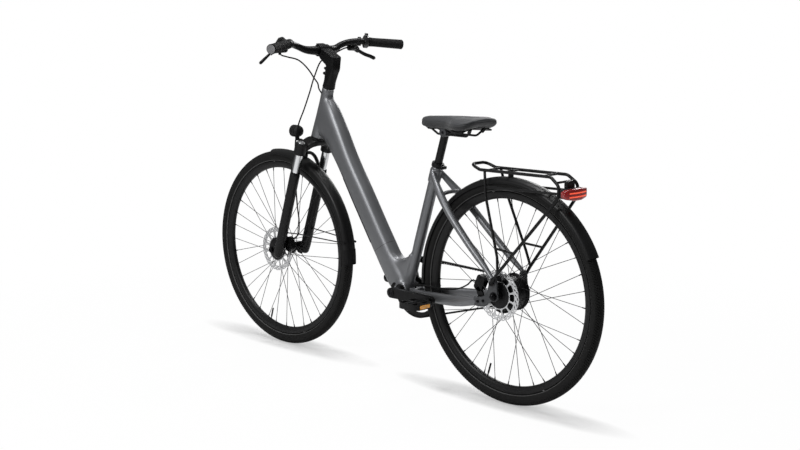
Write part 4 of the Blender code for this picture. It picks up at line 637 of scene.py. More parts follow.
STAY_PATH = mm(
    (-221, 17, 708), (-246, 29, 680), (-284, 44, 640), (-323, 54.5, 600), (-406, 64, 520), (-496, 70, 440),
    (-529, 74.5, 411))


def left_and_right(path):
    path = np.asarray(path, float)
    return path, path * (1, -1, 1)


def stay_shapes():
    path = smooth_line(STAY_PATH, 60)
    sizes = np.interp(np.linspace(0, 1, 60), (0.0, 0.2, 0.8, 1.0), mm(9, 12.8, 11.3, 6.6))
    shapes = [tube(side, sizes, sides=32, reference=(0, 1, 0)) for side in left_and_right(path)]
    bridge = smooth_line(mm((-288, -45, 644), (-286, 0, 648), (-288, 45, 644)), 12)
    shapes.append(tube(bridge, 0.0072, 0.0064, 24))
    shapes.append(turned([(20.2, 0), (20.8, 10), (20.8, 40), (20, 46)], seat(0.39), SEAT_UP, 64))
    return shapes


stays = welded("seat_stay_tubes", stay_shapes(), FRAME_GREY, 0.0016, 4)
fixed(stays, "frame", "seat_stays", slot="frame_paint")


# Chain stays: flattened tubes from the yoke behind the bottom bracket to the dropouts, narrow beside
# the tyre and the sprocket. Welded aluminium in the frame's paint.

CHAIN_STAY_PATH = mm(
    (-142, 21, 297.5), (-166, 30, 298), (-195, 33, 299.5), (-250, 47, 304.5), (-350, 62, 312), (-460, 69, 329))


def rounded(width, height, radius, steps=6):
    """Rounded rectangle outline round (0, 0), sizes in millimetres."""
    width, height, radius = mm(width, height, radius)
    corners = ((1, 1, 0), (-1, 1, 90), (-1, -1, 180), (1, -1, 270))
    return np.vstack([
        arc(radius, start, start + 90, steps, (sx * (width / 2 - radius), sy * (height / 2 - radius)))
        for sx, sy, start in corners])


def chain_stay_shapes():
    path = smooth_line(CHAIN_STAY_PATH, 50)
    at = np.linspace(0, 1, 50)
    widths = np.interp(at, (0, 0.08, 0.18, 0.4, 0.9, 1), mm(8.7, 5.8, 5.3, 8.7, 8.2, 6.4))
    heights = np.interp(at, (0.0, 0.2, 0.5, 0.8, 1.0), mm(14.7, 15.2, 17.7, 17.7, 13.2))
    shapes = [tube(side, widths, heights, 40, power=3.0) for side in left_and_right(path)]
    shapes.append(plate([rounded(26, 29, 4)], 0.0255, (-0.139, 0.0, 0.297), AHEAD, UP))
    return shapes


chain_stays = welded("chain_stay_tubes", chain_stay_shapes(), FRAME_GREY, 0.0016, 4)
fixed(chain_stays, "frame", "chain_stays", slot="frame_paint")


# Dropouts: forged dark grey plates with three socket bolts each, at the ends of the stays. They hold the
# rear axle, whose nuts sit beside them, and the left one carries the caliper.

def anodised(name, low, high, roughness=0.34, metallic=0.75):
    """Blasted and anodised alloy: even fine grain, a little cloud in the colour and the gloss."""
    paint = Paint(name)
    grain = paint.noise(1400.0, 2.0)
    cloud = paint.noise(25.0)
    return paint.wear(
        Base_Color=paint.blend(cloud, low, high), Metallic=metallic, Roughness=roughness + 0.1 * cloud,
        Normal=paint.bump(grain, 0.00003))


ALLOY_BLACK = anodised("black_anodised_alloy", (0.006, 0.006, 0.0063), (0.012, 0.012, 0.0126))
FORGED_GREY = anodised("forged_dropout_grey", (0.05, 0.052, 0.055), (0.08, 0.082, 0.087), 0.4, 0.6)


def brushed(name, colour, roughness):
    """Turned or ground steel: long thin streaks in the gloss and the surface."""
    paint = Paint(name)
    place = paint.node(
        "Mapping", {}, {"Vector": paint.node("TexCoord", out="Object"), "Scale": (40.0, 2200.0, 40.0)})
    streak = paint.noise(1.0, 4.0, 0.6, place)
    dark = tuple(0.72 * c for c in colour)
    return paint.wear(
        Base_Color=paint.blend(streak, dark, colour), Metallic=1.0, Roughness=roughness + 0.18 * streak,
        Normal=paint.bump(streak, 0.00003))


STEEL = brushed("brushed_steel", (0.6, 0.61, 0.62), 0.2)
DARK_BOLT = brushed("blackened_bolt_steel", (0.02, 0.02, 0.0215), 0.3)


def bolt(place, axis, radius, height, socket=True):
    """Button head bolt, sizes in millimetres: domed, with its socket turned in as a stepped hollow."""
    radius, height = mm(radius, height)
    profile = [(radius, 0.0), (radius, 0.45 * height), (0.86 * radius, 0.85 * height), (0.6 * radius, height)]
    if socket:
        profile += [(0.46 * radius, height), (0.44 * radius, 0.35 * height)]
    return lathe(profile, place, axis, 24)


def dropout_shapes(side):
    outline = mm(
        (13, -16), (30, -34), (52, -40), (78, -36), (82, -26), (78, -12), (56, -10), (34, 0), (24, 18),
        (18, 46), (8, 62), (-6, 60), (-10, 44), (-14, 16), (-17, 4), (-15, -8), (-6, -16))
    closed = np.vstack((outline, outline[:1]))
    smooth = smooth_line(np.c_[closed, 0 * closed[:, 0]], 90)[:-1, :2]
    return plate([smooth, arc(0.0068, 0, 345, 24)], 0.0032, REAR_AXLE + side * 0.072 * SIDE, AHEAD, UP)


def eased(made, width, segments=3, angle=35.0):
    """Rounds every edge sharper than angle degrees by this width."""
    edge = made.modifiers.new("eased_edges", "BEVEL")
    edge.width, edge.segments = width, segments
    edge.limit_method, edge.angle_limit = "ANGLE", math.radians(angle)
    edge.harden_normals = False
    return made


for side, name in ((1, "left"), (-1, "right")):
    part(
        f"dropout_{name}_plate", [dropout_shapes(side)], FORGED_GREY, "frame", f"dropout_{name}",
        slot="black_alloy", ease=(0.0009, 3))
    bolts = [
        bolt(REAR_AXLE + mm(ahead, side * 75.2, up), side * SIDE, 5, 3)
        for ahead, up in ((42, -20), (64, -25), (3, 50))]
    part(f"dropout_{name}_bolts", bolts, DARK_BOLT, "frame")


# Small frame fittings: bonded headset rings, bottom bracket cups, seat clamp with its cross bolt, and
# the oval rubber plug over the charging port.

for name in ("headset_bearing_lower", "headset_bearing_upper"):
    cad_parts[name].data.materials.clear()
    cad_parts[name].data.materials.append(STEEL)
rings = [turned(
    [(18.6, 0.2), (24.7, 0.2), (25.2, 1.2), (25.2, 3.6), (24.6, 4.4), (18.6, 4.4)], LOWER_RACE, STEER_UP, 72,
    True)]
part("headset_ring_lower", rings, ALLOY_BLACK, "frame")
cups = [turned(
    [(10, 37.2), (21.8, 37.2), (22.6, 38), (22.6, 39.4), (21.8, 40.2), (10, 40.2)], BRACKET, side * SIDE, 48,
    True) for side in (1, -1)]
cups.append(turned([(10, -38), (18.2, -38), (18.2, 38), (10, 38)], BRACKET, SIDE, 48, True))
part("bottom_bracket_cups", cups, ALLOY_BLACK, "frame", "bottom_bracket")
collar = [turned(
    [(14.2, 0), (19.9, 0), (20.4, 0.8), (20.4, 11.2), (19.6, 13.8), (17, 14.2), (14.2, 14.2)], seat(0.4435),
    SEAT_UP, 72, True), plate([rounded(14, 10.5, 3)], 0.0102, seat(0.4495, -0.0235), SEAT_AHEAD, SEAT_UP)]
part("seat_clamp_collar", collar, ALLOY_BLACK, "frame", "seat_clamp", slot="black_paint", ease=(0.0005, 2))
part("seat_clamp_bolt", [bolt(seat(0.4495, -0.0255, 0.0102), SIDE, 4, 3)], DARK_BOLT, "frame")


def port_plug():
    """Oval plug: ellipses of growing size from its neck to a lip, then a dished face with a pull tab."""
    centre, along = mm(-59, 30, 311), mm(10.43, -2.6, -10.08)
    short = np.array((0.695, 0.0, 0.719))
    angle = math.tau * np.arange(48) / 48
    rows = [
        (-0.001, 0.0004), (0.0, 0.0008), (0.0004, 0.0022), (-0.0006, 0.003), (-0.002, 0.0031),
        (-0.0026, 0.0025), (-0.0058, 0.0024)]
    rings = [
        centre + side * SIDE + np.cos(angle)[:, None] * along * (1 + inset / 0.0145)
        + (0.0065 + inset) * np.sin(angle)[:, None] * short for inset, side in rows]
    return shape(rings)


part("charge_port_plug", [port_plug()], RUBBER, "charge_port_cover", "charge_port_flap", crease=45.0)


# Axles: threaded steel with flanged nuts outside the dropouts and fork tabs. The rear one is the fixed
# axle of the hub motor, and it carries the stator inside the hub.

def thread(start, end, radius):
    """Profile of a screw thread: the radius drops by 0.4 mm and back over each pitch of 1 mm."""
    height = np.arange(start, end, 0.0005)
    return [(radius - 0.0004 * (k % 2), float(h)) for k, h in enumerate(height)]


def wheel_nut(axle, side, inner, bore, radius, height):
    washer = [(bore, inner), (1.35 * radius, inner), (1.35 * radius, inner + 0.0008), (bore, inner + 0.0012)]
    nut = [
        (bore, inner + 0.0013), (0.88 * radius, inner + 0.0013), (radius, inner + 0.0022),
        (radius, inner + height - 0.001), (0.88 * radius, inner + height), (bore, inner + height)]
    return [lathe(washer, axle, side * SIDE, 48, True), lathe(nut, axle, side * SIDE, 6, True)]


stator = [(0.0062, -0.022), (0.04, -0.022), (0.043, -0.02), (0.043, 0.022), (0.04, 0.024), (0.0062, 0.024)]
rear_axle = [lathe(
    [(0.004, -0.09)] + thread(-0.089, -0.056, 0.0062) + stator + thread(0.056, 0.089, 0.0062) + [(0.004, 0.09)],
    REAR_AXLE, SIDE, 40)]
for side in (1, -1):
    rear_axle += wheel_nut(REAR_AXLE, side, 0.0753, 0.0058, 0.0106, 0.0088)
part("motor_axle", rear_axle, DARK_BOLT, "frame", "motor_axle_and_stator", crease=30.0)
front_axle = [lathe(
    [(0.0036, -0.0733)] + thread(-0.0726, -0.056, 0.005) + [(0.005, 0.056)] + thread(0.0566, 0.0726, 0.005)
    + [(0.0036, 0.0733)], FRONT_AXLE, SIDE, 40)]
for side in (1, -1):
    front_axle += wheel_nut(FRONT_AXLE, side, 0.0622, 0.0046, 0.0095, 0.0078)
part("front_wheel_axle", front_axle, DARK_BOLT, "fork_slider", "front_axle", crease=30.0)


# Mudguards: extruded aluminium strip rolled round the wheel, with a rolled bead along each edge and
# painted satin black. The rear one hangs from the rack and bridge, the front one from the fork arch.

def satin_black():
    paint = Paint("satin_black_paint")
    peel = paint.noise(520.0, 1.0)
    cloud = paint.noise(18.0)
    return paint.wear(
        Base_Color=paint.blend(cloud, (0.0045, 0.0045, 0.0048), (0.008, 0.008, 0.0084)),
        Roughness=0.36 + 0.1 * cloud, Normal=paint.bump(peel, 0.00005), Specular_IOR_Level=0.2,
        Coat_Weight=0.05, Coat_Roughness=0.2)


SATIN_BLACK = satin_black()


def guard_section(grow):
    """Half round crown over drooping flanges: a superellipse of power 2.3 from edge to edge, 1.4 mm
    thick, with a bead 2.4 mm thick along both edges."""
    half = np.linspace(-math.pi / 2, math.pi / 2, 41)
    s, c = np.sin(half), np.cos(half)
    y = 0.0249 * np.sign(s) * np.abs(s) ** (2 / 2.3)
    r = 0.345 + 0.0186 * np.abs(c) ** (2 / 2.3)
    outer = np.stack((r + grow, y + grow * np.sign(y)), -1)
    inner = np.stack((r - 0.0014 * np.abs(c) - 0.0003, y - 0.0014 * s), -1)[::-1]
    left_bead = mm((344, 25.2), (343.4, 24.4), (344, 23.2))
    right_bead = left_bead[::-1] * (1, -1)
    return np.vstack((outer, left_bead, inner, right_bead))


def guard(axle, start, end, count, grow=0.0):
    """The section is carried round the axle through the angles from start to end, degrees from ahead."""
    section = guard_section(grow)[None]
    out = round_out(np.radians(np.linspace(start, end, count))[:, None])
    return shape(axle + section[..., :1] * out + section[..., 1:] * SIDE)


rear_guard = [
    guard(REAR_AXLE, -3.0, 154.4, 150), plate([rounded(12, 18, 3)], 0.006, (-0.535, 0.0, 0.7238), AHEAD, UP)]
part("rear_mudguard_strip", rear_guard, SATIN_BLACK, "frame", "rear_mudguard")


guard_bolts = [bolt(REAR_AXLE + 0.3634 * ray_out(angle), ray_out(angle), 3.6, 1.6) for angle in (137.0, 70.5)]
part("mudguard_bolts", guard_bolts, DARK_BOLT, "frame")


# Front mudguard: the same strip, shorter, with a rubber flap at its tail, a lug under the fork arch and
# a wire stay on each side that is pushed into an eyelet on the flap.

STAY_END = mm(448.2, 63.5, 430)


def bent(points, radius, steps=8):
    """Path of straight runs, with a parabola in place of each inner corner that starts and ends where
    a circle of this radius would touch the runs."""
    points = np.asarray(points, float)
    before, corner, after = points[:-2], points[1:-1], points[2:]
    back, ahead = before - corner, after - corner
    back_length, ahead_length = np.linalg.norm(back, axis=1), np.linalg.norm(ahead, axis=1)
    back, ahead = back / back_length[:, None], ahead / ahead_length[:, None]
    half = np.arccos(np.clip((back * ahead).sum(1), -1, 1)) / 2
    reach = np.minimum(np.minimum(radius / np.tan(half), 0.49 * back_length), 0.49 * ahead_length)[:, None]
    t = np.linspace(0, 1, steps + 1)[None, :, None]
    start, end = (corner + back * reach)[:, None], (corner + ahead * reach)[:, None]
    curves = (1 - t) ** 2 * start + 2 * t * (1 - t) * corner[:, None] + t ** 2 * end
    return np.vstack((points[:1], curves.reshape(-1, 3), points[-1:]))


lug_out = ray_out(108.9)
front_guard = [
    guard(FRONT_AXLE, 82.6, 175.5, 100),
    plate([rounded(15, 14, 3)], 0.007, FRONT_AXLE + 0.368 * lug_out, np.cross(SIDE, lug_out), lug_out)]
part("front_mudguard_strip", front_guard, SATIN_BLACK, "fork_slider", "front_mudguard")
flap = [guard(FRONT_AXLE, 173.5, 182.0, 16, 0.0009)]
wires = []
for side in (1, -1):
    wire = bent(
        mm((448.2, 63.5, 430), (400, 52, 430), (215, 30, 422.2), (190, 26.2, 420.3)) * (1, side, 1), 0.03)
    wires.append(tube(wire, 0.0021, sides=12))
    wires.append(turned(
        [(3.5, -4), (4.8, -3), (4.8, 3), (3.5, 4)], STAY_END * (1, side, 1) - side * 0.002 * SIDE, SIDE, 24))
    flap.append(tube([(0.184, side * 0.0258, 0.42), (0.208, side * 0.0293, 0.4217)], 0.0038, 0.0038, 16))
part("front_mudguard_flap", flap, RUBBER, "fork_slider", crease=45.0)
part("front_mudguard_wires", wires, SATIN_BLACK, "fork_slider")


# Rear rack: 10 mm aluminium tube bent into one long loop, with struts down to the dropouts, lower rails
# for side bags, cross bars and the lamp's plate welded on. Painted satin black.

def rack_shapes():
    run = mm(
        (-531, 83, 398.5), (-550, 80, 427), (-754, 47, 680), (-755, 45, 716), (-720, 40, 740.5),
        (-442, 38.5, 737), (-403, 34, 751))
    loop = bent(np.vstack((run, (run * (1, -1, 1))[::-1])), 0.026)
    shapes = [tube(loop, 0.005, sides=20, reference=(0.3, 1.0, 0.6))]
    front_strut = mm((-462, 38.5, 737), (-477, 50, 660), (-543, 70, 480), (-553, 79, 434))
    rail = mm((-478, 45, 687), (-755, 45.5, 694))
    for path, size in ((bent(front_strut, 0.05), 0.0043), (rail, 0.004)):
        shapes += [tube(side, size, sides=20, reference=(0, 1, 0)) for side in left_and_right(path)]
    for x, z in ((-0.462, 0.7362), (-0.535, 0.7374), (-0.685, 0.7395), (-0.746, 0.726)):
        shapes.append(bar((x, -0.0395, z), (x, 0.0395, z), 0.0037, 16))
    for side in (1, -1):
        shapes.append(bar((-0.5345, side * 0.067, 0.505), (-0.612, side * 0.0705, 0.5), 0.0038, 16))
        shapes.append(
            turned([(6.2, -3), (7.5, -2.2), (7.5, 2.2), (6.2, 3)], (-0.531, side * 0.083, 0.3965), SIDE, 32))
    shapes.append(bar((-0.756, -0.0455, 0.694), (-0.756, 0.0455, 0.694), 0.004, 16))
    return shapes


part("rack_tubes", rack_shapes(), SATIN_BLACK, "frame", "rear_rack")
lamp_plate = plate([rounded(36, 48, 6)], 0.006, (-0.759, 0.0, 0.706), SIDE, UP)
part("rack_lamp_plate", [lamp_plate], SATIN_BLACK, "frame", ease=(0.001, 3))
rack_bolts = [bolt((-0.531, side * 0.0859, 0.3965), side * SIDE, 4.6, 3) for side in (1, -1)]
rack_bolts.append(bolt((-0.535, 0.0, 0.7405), UP, 4, 2.6))
part("rack_bolts", rack_bolts, DARK_BOLT, "frame")


# Rear lamp: a wide red lens with swept ends, welded on a black housing. Behind the lens two plain
# light bars glow, one above the other, over a field of small prisms.

def lamp_ring(y, back, front, low, high):
    """Section of the lamp at one y: a superellipse of power 5 between its back and front, low and high."""
    u, v = oval(28, 5.0)
    middle, half = (back + front) / 2, (front - back) / 2
    return np.stack((middle + half * u, y + 0 * u, (low + high) / 2 + (high - low) / 2 * v), -1)


def lamp_shell(count, back, front, low_in, high_in, ends):
    """Sections across the lamp: both faces sweep forward to the ends, and its height tapers there."""
    y = np.sin(np.linspace(-math.pi / 2, math.pi / 2, count)) * ends
    at = np.abs(y)
    sweep, low, high = (
        np.interp(at, mm(0, 15, 44, 52), values) for values in (
            mm(0, 0, 4, 10), mm(674, 674, 679, 685) + low_in, mm(709.5, 709.5, 708, 703) - high_in))
    return shape([lamp_ring(*row) for row in zip(y, back + sweep, front + 1.3 * sweep, low, high)])


def red_lens():
    paint = Paint("red_lens_plastic")
    x, y, z = paint.axes()
    ribs = paint.node("TexChecker", {}, {"Vector": paint.node("TexCoord", out="Object"), "Scale": 420.0}, out=1)
    band = (abs(z - 0.6975) < 0.0021) + (abs(z - 0.686) < 0.0021)
    bars = band * (abs(y) < 0.04) * (x < -0.783)
    glow = paint.blend(bars, (0.085, 0.001, 0.001), (1.0, 0.12, 0.045))
    return paint.wear(
        Base_Color=paint.blend(bars, (0.2, 0.002, 0.002), (0.75, 0.03, 0.02)), Roughness=0.14, Coat_Weight=0.6,
        Coat_Roughness=0.05, Emission_Color=glow, Emission_Strength=0.8, Normal=paint.bump(ribs, 0.00012))


part(
    "rear_lamp_lens", [lamp_shell(48, -0.7775, -0.795, 0.0, 0.0, 0.052)], red_lens(), "frame",
    "tail_light_lens", slot="red_lens", crease=50.0)
part(
    "rear_lamp_housing", [lamp_shell(40, -0.762, -0.7785, 0.0012, 0.0006, 0.047)], PLASTIC, "frame",
    crease=50.0)


# Tyres: 45 mm city tyres on 622 mm rims. Round carcass of black rubber with a closed centre rib, a zigzag
# groove on each side of it, slanting shoulder blocks and moulded rings on the sidewall. A grey line is
# painted on the sidewall by the rim: a painted highlight where the rim's edge catches the light.

def tyre_rubber():
    paint = Paint("black_tyre_rubber")
    grain = paint.noise(700.0, 5.0, 0.65)
    dust = paint.noise(30.0, 5.0, 0.6)
    x, y, z = paint.axes()
    radius = ((abs(x) - 0.535) * (abs(x) - 0.535) + (z - 0.356) * (z - 0.356)) ** 0.5
    # painted highlight: a thin grey line on the sidewall next to the rim, where the rim's edge catches the
    # light
    strip = (abs(radius - 0.3222) < 0.0011) * 0.8
    worn = paint.blend(dust, (0.0045, 0.0045, 0.0045), (0.009, 0.0089, 0.0088))
    return paint.wear(
        Base_Color=paint.blend(strip, worn, (0.1, 0.1, 0.1)), Roughness=0.6 + 0.22 * dust,
        Normal=paint.bump(grain, 0.00012), Specular_IOR_Level=0.18)


TYRE_RUBBER = tyre_rubber()
WHEEL_RADIUS, TYRE_WIDTH, RIM_OUTER, RIM_BED = 0.356, 0.0416, 0.3182, 0.295


def tyre_grid(axle, around=1640):
    """Radius of the tyre over two parameters, the angle round the wheel and the arc across the
    carcass: a circle of the tyre's half width, less the depth of the grooves."""
    across = np.radians(np.r_[
        -158, -150, -140, -128, -116, -104, -92, -82, np.linspace(-74, 74, 37), 82, 92, 104, 116, 128, 140, 150,
        158])
    turn = math.tau * np.arange(around)[:, None] / around
    a = across[None, :]
    half = TYRE_WIDTH / 2
    centre_radius = WHEEL_RADIUS - 0.0197
    side = half * np.sin(a)
    rise = np.where(np.cos(a) > 0, 0.0197 * np.cos(a), 0.0195 * np.cos(a))
    phase = 136 * turn / math.tau
    saw = 2 * np.abs(phase % 1 - 0.5)
    lateral = np.degrees(np.abs(a))
    zigzag = 19.0 + 5.0 * saw
    groove = 1 - soft_step(np.abs(lateral - zigzag), 1.9, 1.2)
    slant = (phase * 2 + np.sign(a) * 0.25 + lateral / 40.0) % 1
    sipe = (1 - soft_step(np.abs(slant - 0.5), 0.17, 0.14)) * soft_band(lateral, 28, 4, 66, 6)
    rings = (1 - soft_step(np.abs((lateral - 84) % 12 - 6), 1.0, 1.2)) * soft_band(lateral, 84, 4, 128, 4)
    depth = 0.0022 * np.maximum(groove, sipe) - 0.0002 * rings
    radius = centre_radius + rise - depth * np.cos(a) * (np.cos(a) > 0)
    side = side - (depth * np.sin(a)) * (lateral > 30)
    return axle + radius[..., None] * round_out(turn) + (side + 0 * turn)[..., None] * SIDE


def bead_closing(grid, axle):
    """Two more columns carry the carcass down to the rim's bead seats, so that the ring is closed."""
    radial = grid - axle
    radial[..., 1] = 0
    out = radial / np.linalg.norm(radial, axis=2)[..., None]
    low = [axle + (RIM_OUTER + 0.0003) * out[:, k] + y * SIDE for k, y in ((0, -0.0119), (-1, 0.0119))]
    return np.concatenate((low[0][:, None], grid, low[1][:, None]), axis=1)


for name, axle, body in (("front", FRONT_AXLE, "front_wheel"), ("rear", REAR_AXLE, "rear_wheel")):
    part(
        f"{name}_tyre_skin", [shape(bead_closing(tyre_grid(axle), axle), True)], TYRE_RUBBER, body,
        f"{name}_tyre", slot="tyre_rubber", crease=60.0)


# Rims and spokes: double-walled aluminium hoops, painted satin black. Each holds 36 dark steel spokes,
# whose nipples show inside the rim, and a rubber-covered valve.

def rim_shape(axle):
    return turned([
        (312, -12.1), (317.6, -12.1), (318, -11.6), (318, -10.8), (312, -10), (309.5, -6), (309.5, 6),
        (312, 10), (318, 10.8), (318, 11.6), (317.6, 12.1), (312, 12.1), (308.5, 11.7), (303, 10.5),
        (298.5, 8.5), (296, 6), (295.2, 3), (295, 0), (295.2, -3), (296, -6), (298.5, -8.5), (303, -10.5),
        (308.5, -11.7)], axle, SIDE, 288, True)


def spoke_ends(hub_radius, flanges, crosses):
    """Angles, flange offsets and leans of 36 tangential spokes: each flange takes every second rim hole,
    and every second spoke of a flange leans the other way."""
    index = np.arange(18)
    step = math.tau / 18
    hub = np.concatenate((index * step, index * step + step / 2))
    lean = np.tile(np.where(index % 2 == 1, 1.0, -1.0), 2)
    rim = hub + lean * crosses * step
    flange = np.repeat(flanges, 18)
    start = hub_radius * round_out(hub) + (flange + 0.0017 * lean)[:, None] * SIDE
    rim_side = np.sign(flange) * 0.0026 + 0.0012 * lean
    end = (RIM_BED + 0.0008) * round_out(rim) + rim_side[:, None] * SIDE
    return start, end, lean


def spoke_shapes(axle, hub_radius, flanges, crosses):
    """Each spoke is a straight 2 mm wire from a bent elbow in the flange to its nipple in the rim."""
    start, end, lean = spoke_ends(hub_radius, flanges, crosses)
    spokes, nipples = [], []
    for a, b, way in zip(start + axle, end + axle, lean):
        along = unit(b - a)
        hook = a - 0.0034 * way * SIDE
        path = np.array([hook, a - 0.0006 * along, a + 0.0016 * along, a + 0.5 * (b - a), b - 0.004 * along])
        spokes.append(tube(path, 0.001, sides=8, reference=unit(np.cross(along, SIDE))))
        spokes.append(turned([(1.8, -0.6), (2.1, 0), (1.8, 0.6)], hook, SIDE, 10))
        nipples.append(turned([(1.1, -12), (1.6, -11.5), (1.9, -6), (2.1, -0.2), (2.1, 1)], b, along, 8))
    return spokes, nipples


for name, axle, body, hub_radius, flanges, crosses in (
        ("front", FRONT_AXLE, "front_wheel", 0.024, (0.0196, -0.0337), 3),
        ("rear", REAR_AXLE, "rear_wheel", 0.0562, (0.0322, -0.0275), 2)):
    part(f"{name}_rim_hoop", [rim_shape(axle)], SATIN_BLACK, body, f"{name}_rim", crease=40.0)
    wires, nipples = spoke_shapes(axle, hub_radius, flanges, crosses)
    part(f"{name}_spokes", wires, DARK_BOLT, body, outward=False)
    part(f"{name}_nipples", nipples, DARK_BOLT, body, outward=False)
    out = round_out(5.0)
    valve = [turned([(3, -44), (3, -10), (2.2, -10), (2.2, 2)], axle + RIM_BED * out, out, 20)]
    part(f"{name}_valve", valve, RUBBER, body)


# Hubs: the front one is a slim turned shell with two flanges. The rear one is the motor, a wide drum with
# a stepped side cover, held by six screws, on the belt side and a seat for the brake rotor on the left.

front_hub = [
    (5.6, -53.4), (9.8, -53.4), (10.5, -52.6), (10.5, -40), (15, -38.5), (24.5, -37), (26.5, -35.8),
    (26.5, -31.8), (25, -30.8), (16.5, -28.5), (13.8, -25), (12.8, -15), (12.6, -6), (13, 6), (14, 11.5),
    (16.5, 14.5), (25, 16.8), (26.5, 17.8), (26.5, 21.4), (25, 22.4), (20.5, 23.8), (18.2, 26), (17.8, 34.5),
    (12, 34.8), (12, 37.8), (16, 38), (15.8, 42), (11, 43), (10.5, 44), (10.5, 52.6), (9.8, 53.4), (5.6, 53.4)]
part(
    "front_hub_shell", [turned(front_hub, FRONT_AXLE, SIDE, 96, True)], ALLOY_BLACK, "front_wheel",
    "front_hub_and_spokes", crease=30.0)

rear_hub = [
    (7.2, 54), (11, 54), (11.8, 53.2), (11.8, 52.8), (16.5, 52.6), (17.5, 51.8), (17.5, 51.2), (13.5, 51.1),
    (13.5, 49.4), (21.5, 49.2), (22.5, 48.2), (22.5, 42.4), (25, 40.8), (40, 39.4), (45.5, 38.5), (57.5, 36),
    (59, 34.8), (59, 30.6), (57.8, 29.6), (54.5, 28.6), (53, 26.8), (53, 8), (52.4, 7), (52.4, -3), (53, -4),
    (53, -22.5), (54.5, -24.3), (57.8, -25.2), (59, -26), (59, -29.2), (58.2, -30), (48, -30), (48, 29),
    (7.2, 33)]
part(
    "motor_drum", [turned(rear_hub, REAR_AXLE, SIDE, 128, True)], ALLOY_BLACK, "rear_wheel",
    "rear_hub_and_spokes", crease=28.0)
cover = [
    (7.2, -27), (47.6, -27), (47.6, -30.3), (56.6, -30.3), (57, -30.8), (56, -32.8), (54.5, -33.4), (44, -34.6),
    (43.2, -34), (42, -34), (41.2, -35), (30, -36.2), (24, -36.5), (7.2, -36.5)]
cover_screws = []
for angle in math.tau * np.arange(6) / 6 + 0.3:
    cover_screws.append(bolt(REAR_AXLE + 0.0505 * round_out(angle) - 0.0334 * SIDE, -SIDE, 3, 1.6))
part(
    "motor_cover", [turned(cover, REAR_AXLE, SIDE, 128, True)], ALLOY_BLACK, "rear_wheel", "motor_side_cover",
    crease=28.0)
part("motor_cover_screws", cover_screws, DARK_BOLT, "rear_wheel")


# Brake rotors: stainless discs 160 mm across, punched with a scalloped edge, slots in the braking band and
# twelve windows inside it, held by six rivets on a turned black centre.

def rotor_steel():
    """Ground stainless: fine uneven grain in the colour, the gloss and the surface."""
    paint = Paint("ground_rotor_steel")
    grain = paint.noise(160.0, 5.0, 0.7)
    return paint.wear(
        Base_Color=paint.blend(grain, (0.46, 0.46, 0.47), (0.68, 0.69, 0.7)), Metallic=1.0,
        Roughness=0.26 + 0.14 * grain, Normal=paint.bump(grain, 0.00002))


ROTOR_STEEL = rotor_steel()


def slot_hole(radius, angle, length, width, lean):
    """Long hole: two half circles joined, centred at a radius and angle and leaned from the radius."""
    points = np.vstack((
        arc(width / 2, -90, 90, 5, (length / 2 - width / 2, 0.0)),
        arc(width / 2, 90, 270, 5, (width / 2 - length / 2, 0.0))))
    turn = math.radians(angle + lean)
    c, s = math.cos(turn), math.sin(turn)
    centre = radius * ray_out(angle)[[0, 2]]
    return points @ np.array(((c, s), (-s, c))) + centre


def rotor_shape(axle, side):
    """Disc with a scalloped edge, two rows of slots in its band and twelve rounded windows inside it."""
    angle = math.tau * np.arange(288) / 288
    radius = 0.08 - 0.0007 * (1 - np.cos(24 * angle))
    loops = [np.stack((radius * np.cos(angle), radius * np.sin(angle)), -1)]
    u, v = oval(24, 4.0)
    for k in range(24):
        loops.append(slot_hole(0.0753, 15.0 * k, 0.0098, 0.0038, 62.0))
        loops.append(slot_hole(0.069, 15.0 * k + 7.5, 0.0098, 0.0036, 62.0))
    for k in range(12):
        window = np.radians(30.0 * k + 12.0 * v)
        reach = 0.0538 + 0.0096 * u
        loops.append(np.stack((reach * np.cos(window), reach * np.sin(window)), -1))
    loops.append(arc(0.0118 if side < 0.04 else 0.0136, 0, 350, 36))
    return plate(loops, 0.0009, axle + side * SIDE, AHEAD, UP)


for name, axle, side, body in (
        ("front", FRONT_AXLE, 0.0357, "front_wheel"), ("rear", REAR_AXLE, 0.0503, "rear_wheel")):
    part(
        f"{name}_rotor_disc", [rotor_shape(axle, side)], ROTOR_STEEL, body, f"{name}_brake_rotor", slot="steel",
        crease=30.0)
    bore = 12.2 if name == "front" else 13.7
    carrier = [turned([
        (bore, -1.4), (40, -1.4), (41.6, -1), (41.6, 1), (40, 1.4), (23, 1.5), (21.2, 1.8), (20.5, 2.6),
        (15, 3), (bore, 3)], axle + side * SIDE, SIDE, 96, True)]
    rivets = [
        bolt(axle + 0.038 * round_out(k) + (side + 0.0012) * SIDE, SIDE, 2.6, 1, False)
        for k in math.tau * np.arange(6) / 6]
    part(f"{name}_rotor_carrier", carrier + rivets, ALLOY_BLACK, body, crease=30.0)


# Belt drive: a black polyurethane belt with carbon cords, 122 wedge teeth of 11 mm pitch, on a 60 tooth
# front sprocket of black alloy and a 22 tooth rear one of brushed steel. The teeth sit in its grooves.

BELT_PITCH, BELT_TEETH, FRONT_TEETH, REAR_TEETH, BELT_LINE = 0.011, 122, 60, 22, -0.0465
FRONT_PITCH, REAR_PITCH = (teeth * BELT_PITCH / math.tau for teeth in (FRONT_TEETH, REAR_TEETH))
AXLE_DISTANCE = float(np.linalg.norm(BRACKET - REAR_AXLE))
BELT_AHEAD = unit(BRACKET - REAR_AXLE)
BELT_UP = np.array((-BELT_AHEAD[2], 0.0, BELT_AHEAD[0]))
BELT_LEAN = math.asin((FRONT_PITCH - REAR_PITCH) / AXLE_DISTANCE)
FRONT_WRAP, REAR_WRAP = FRONT_PITCH * (math.pi + 2 * BELT_LEAN), REAR_PITCH * (math.pi - 2 * BELT_LEAN)
STRAIGHT = AXLE_DISTANCE * math.cos(BELT_LEAN)


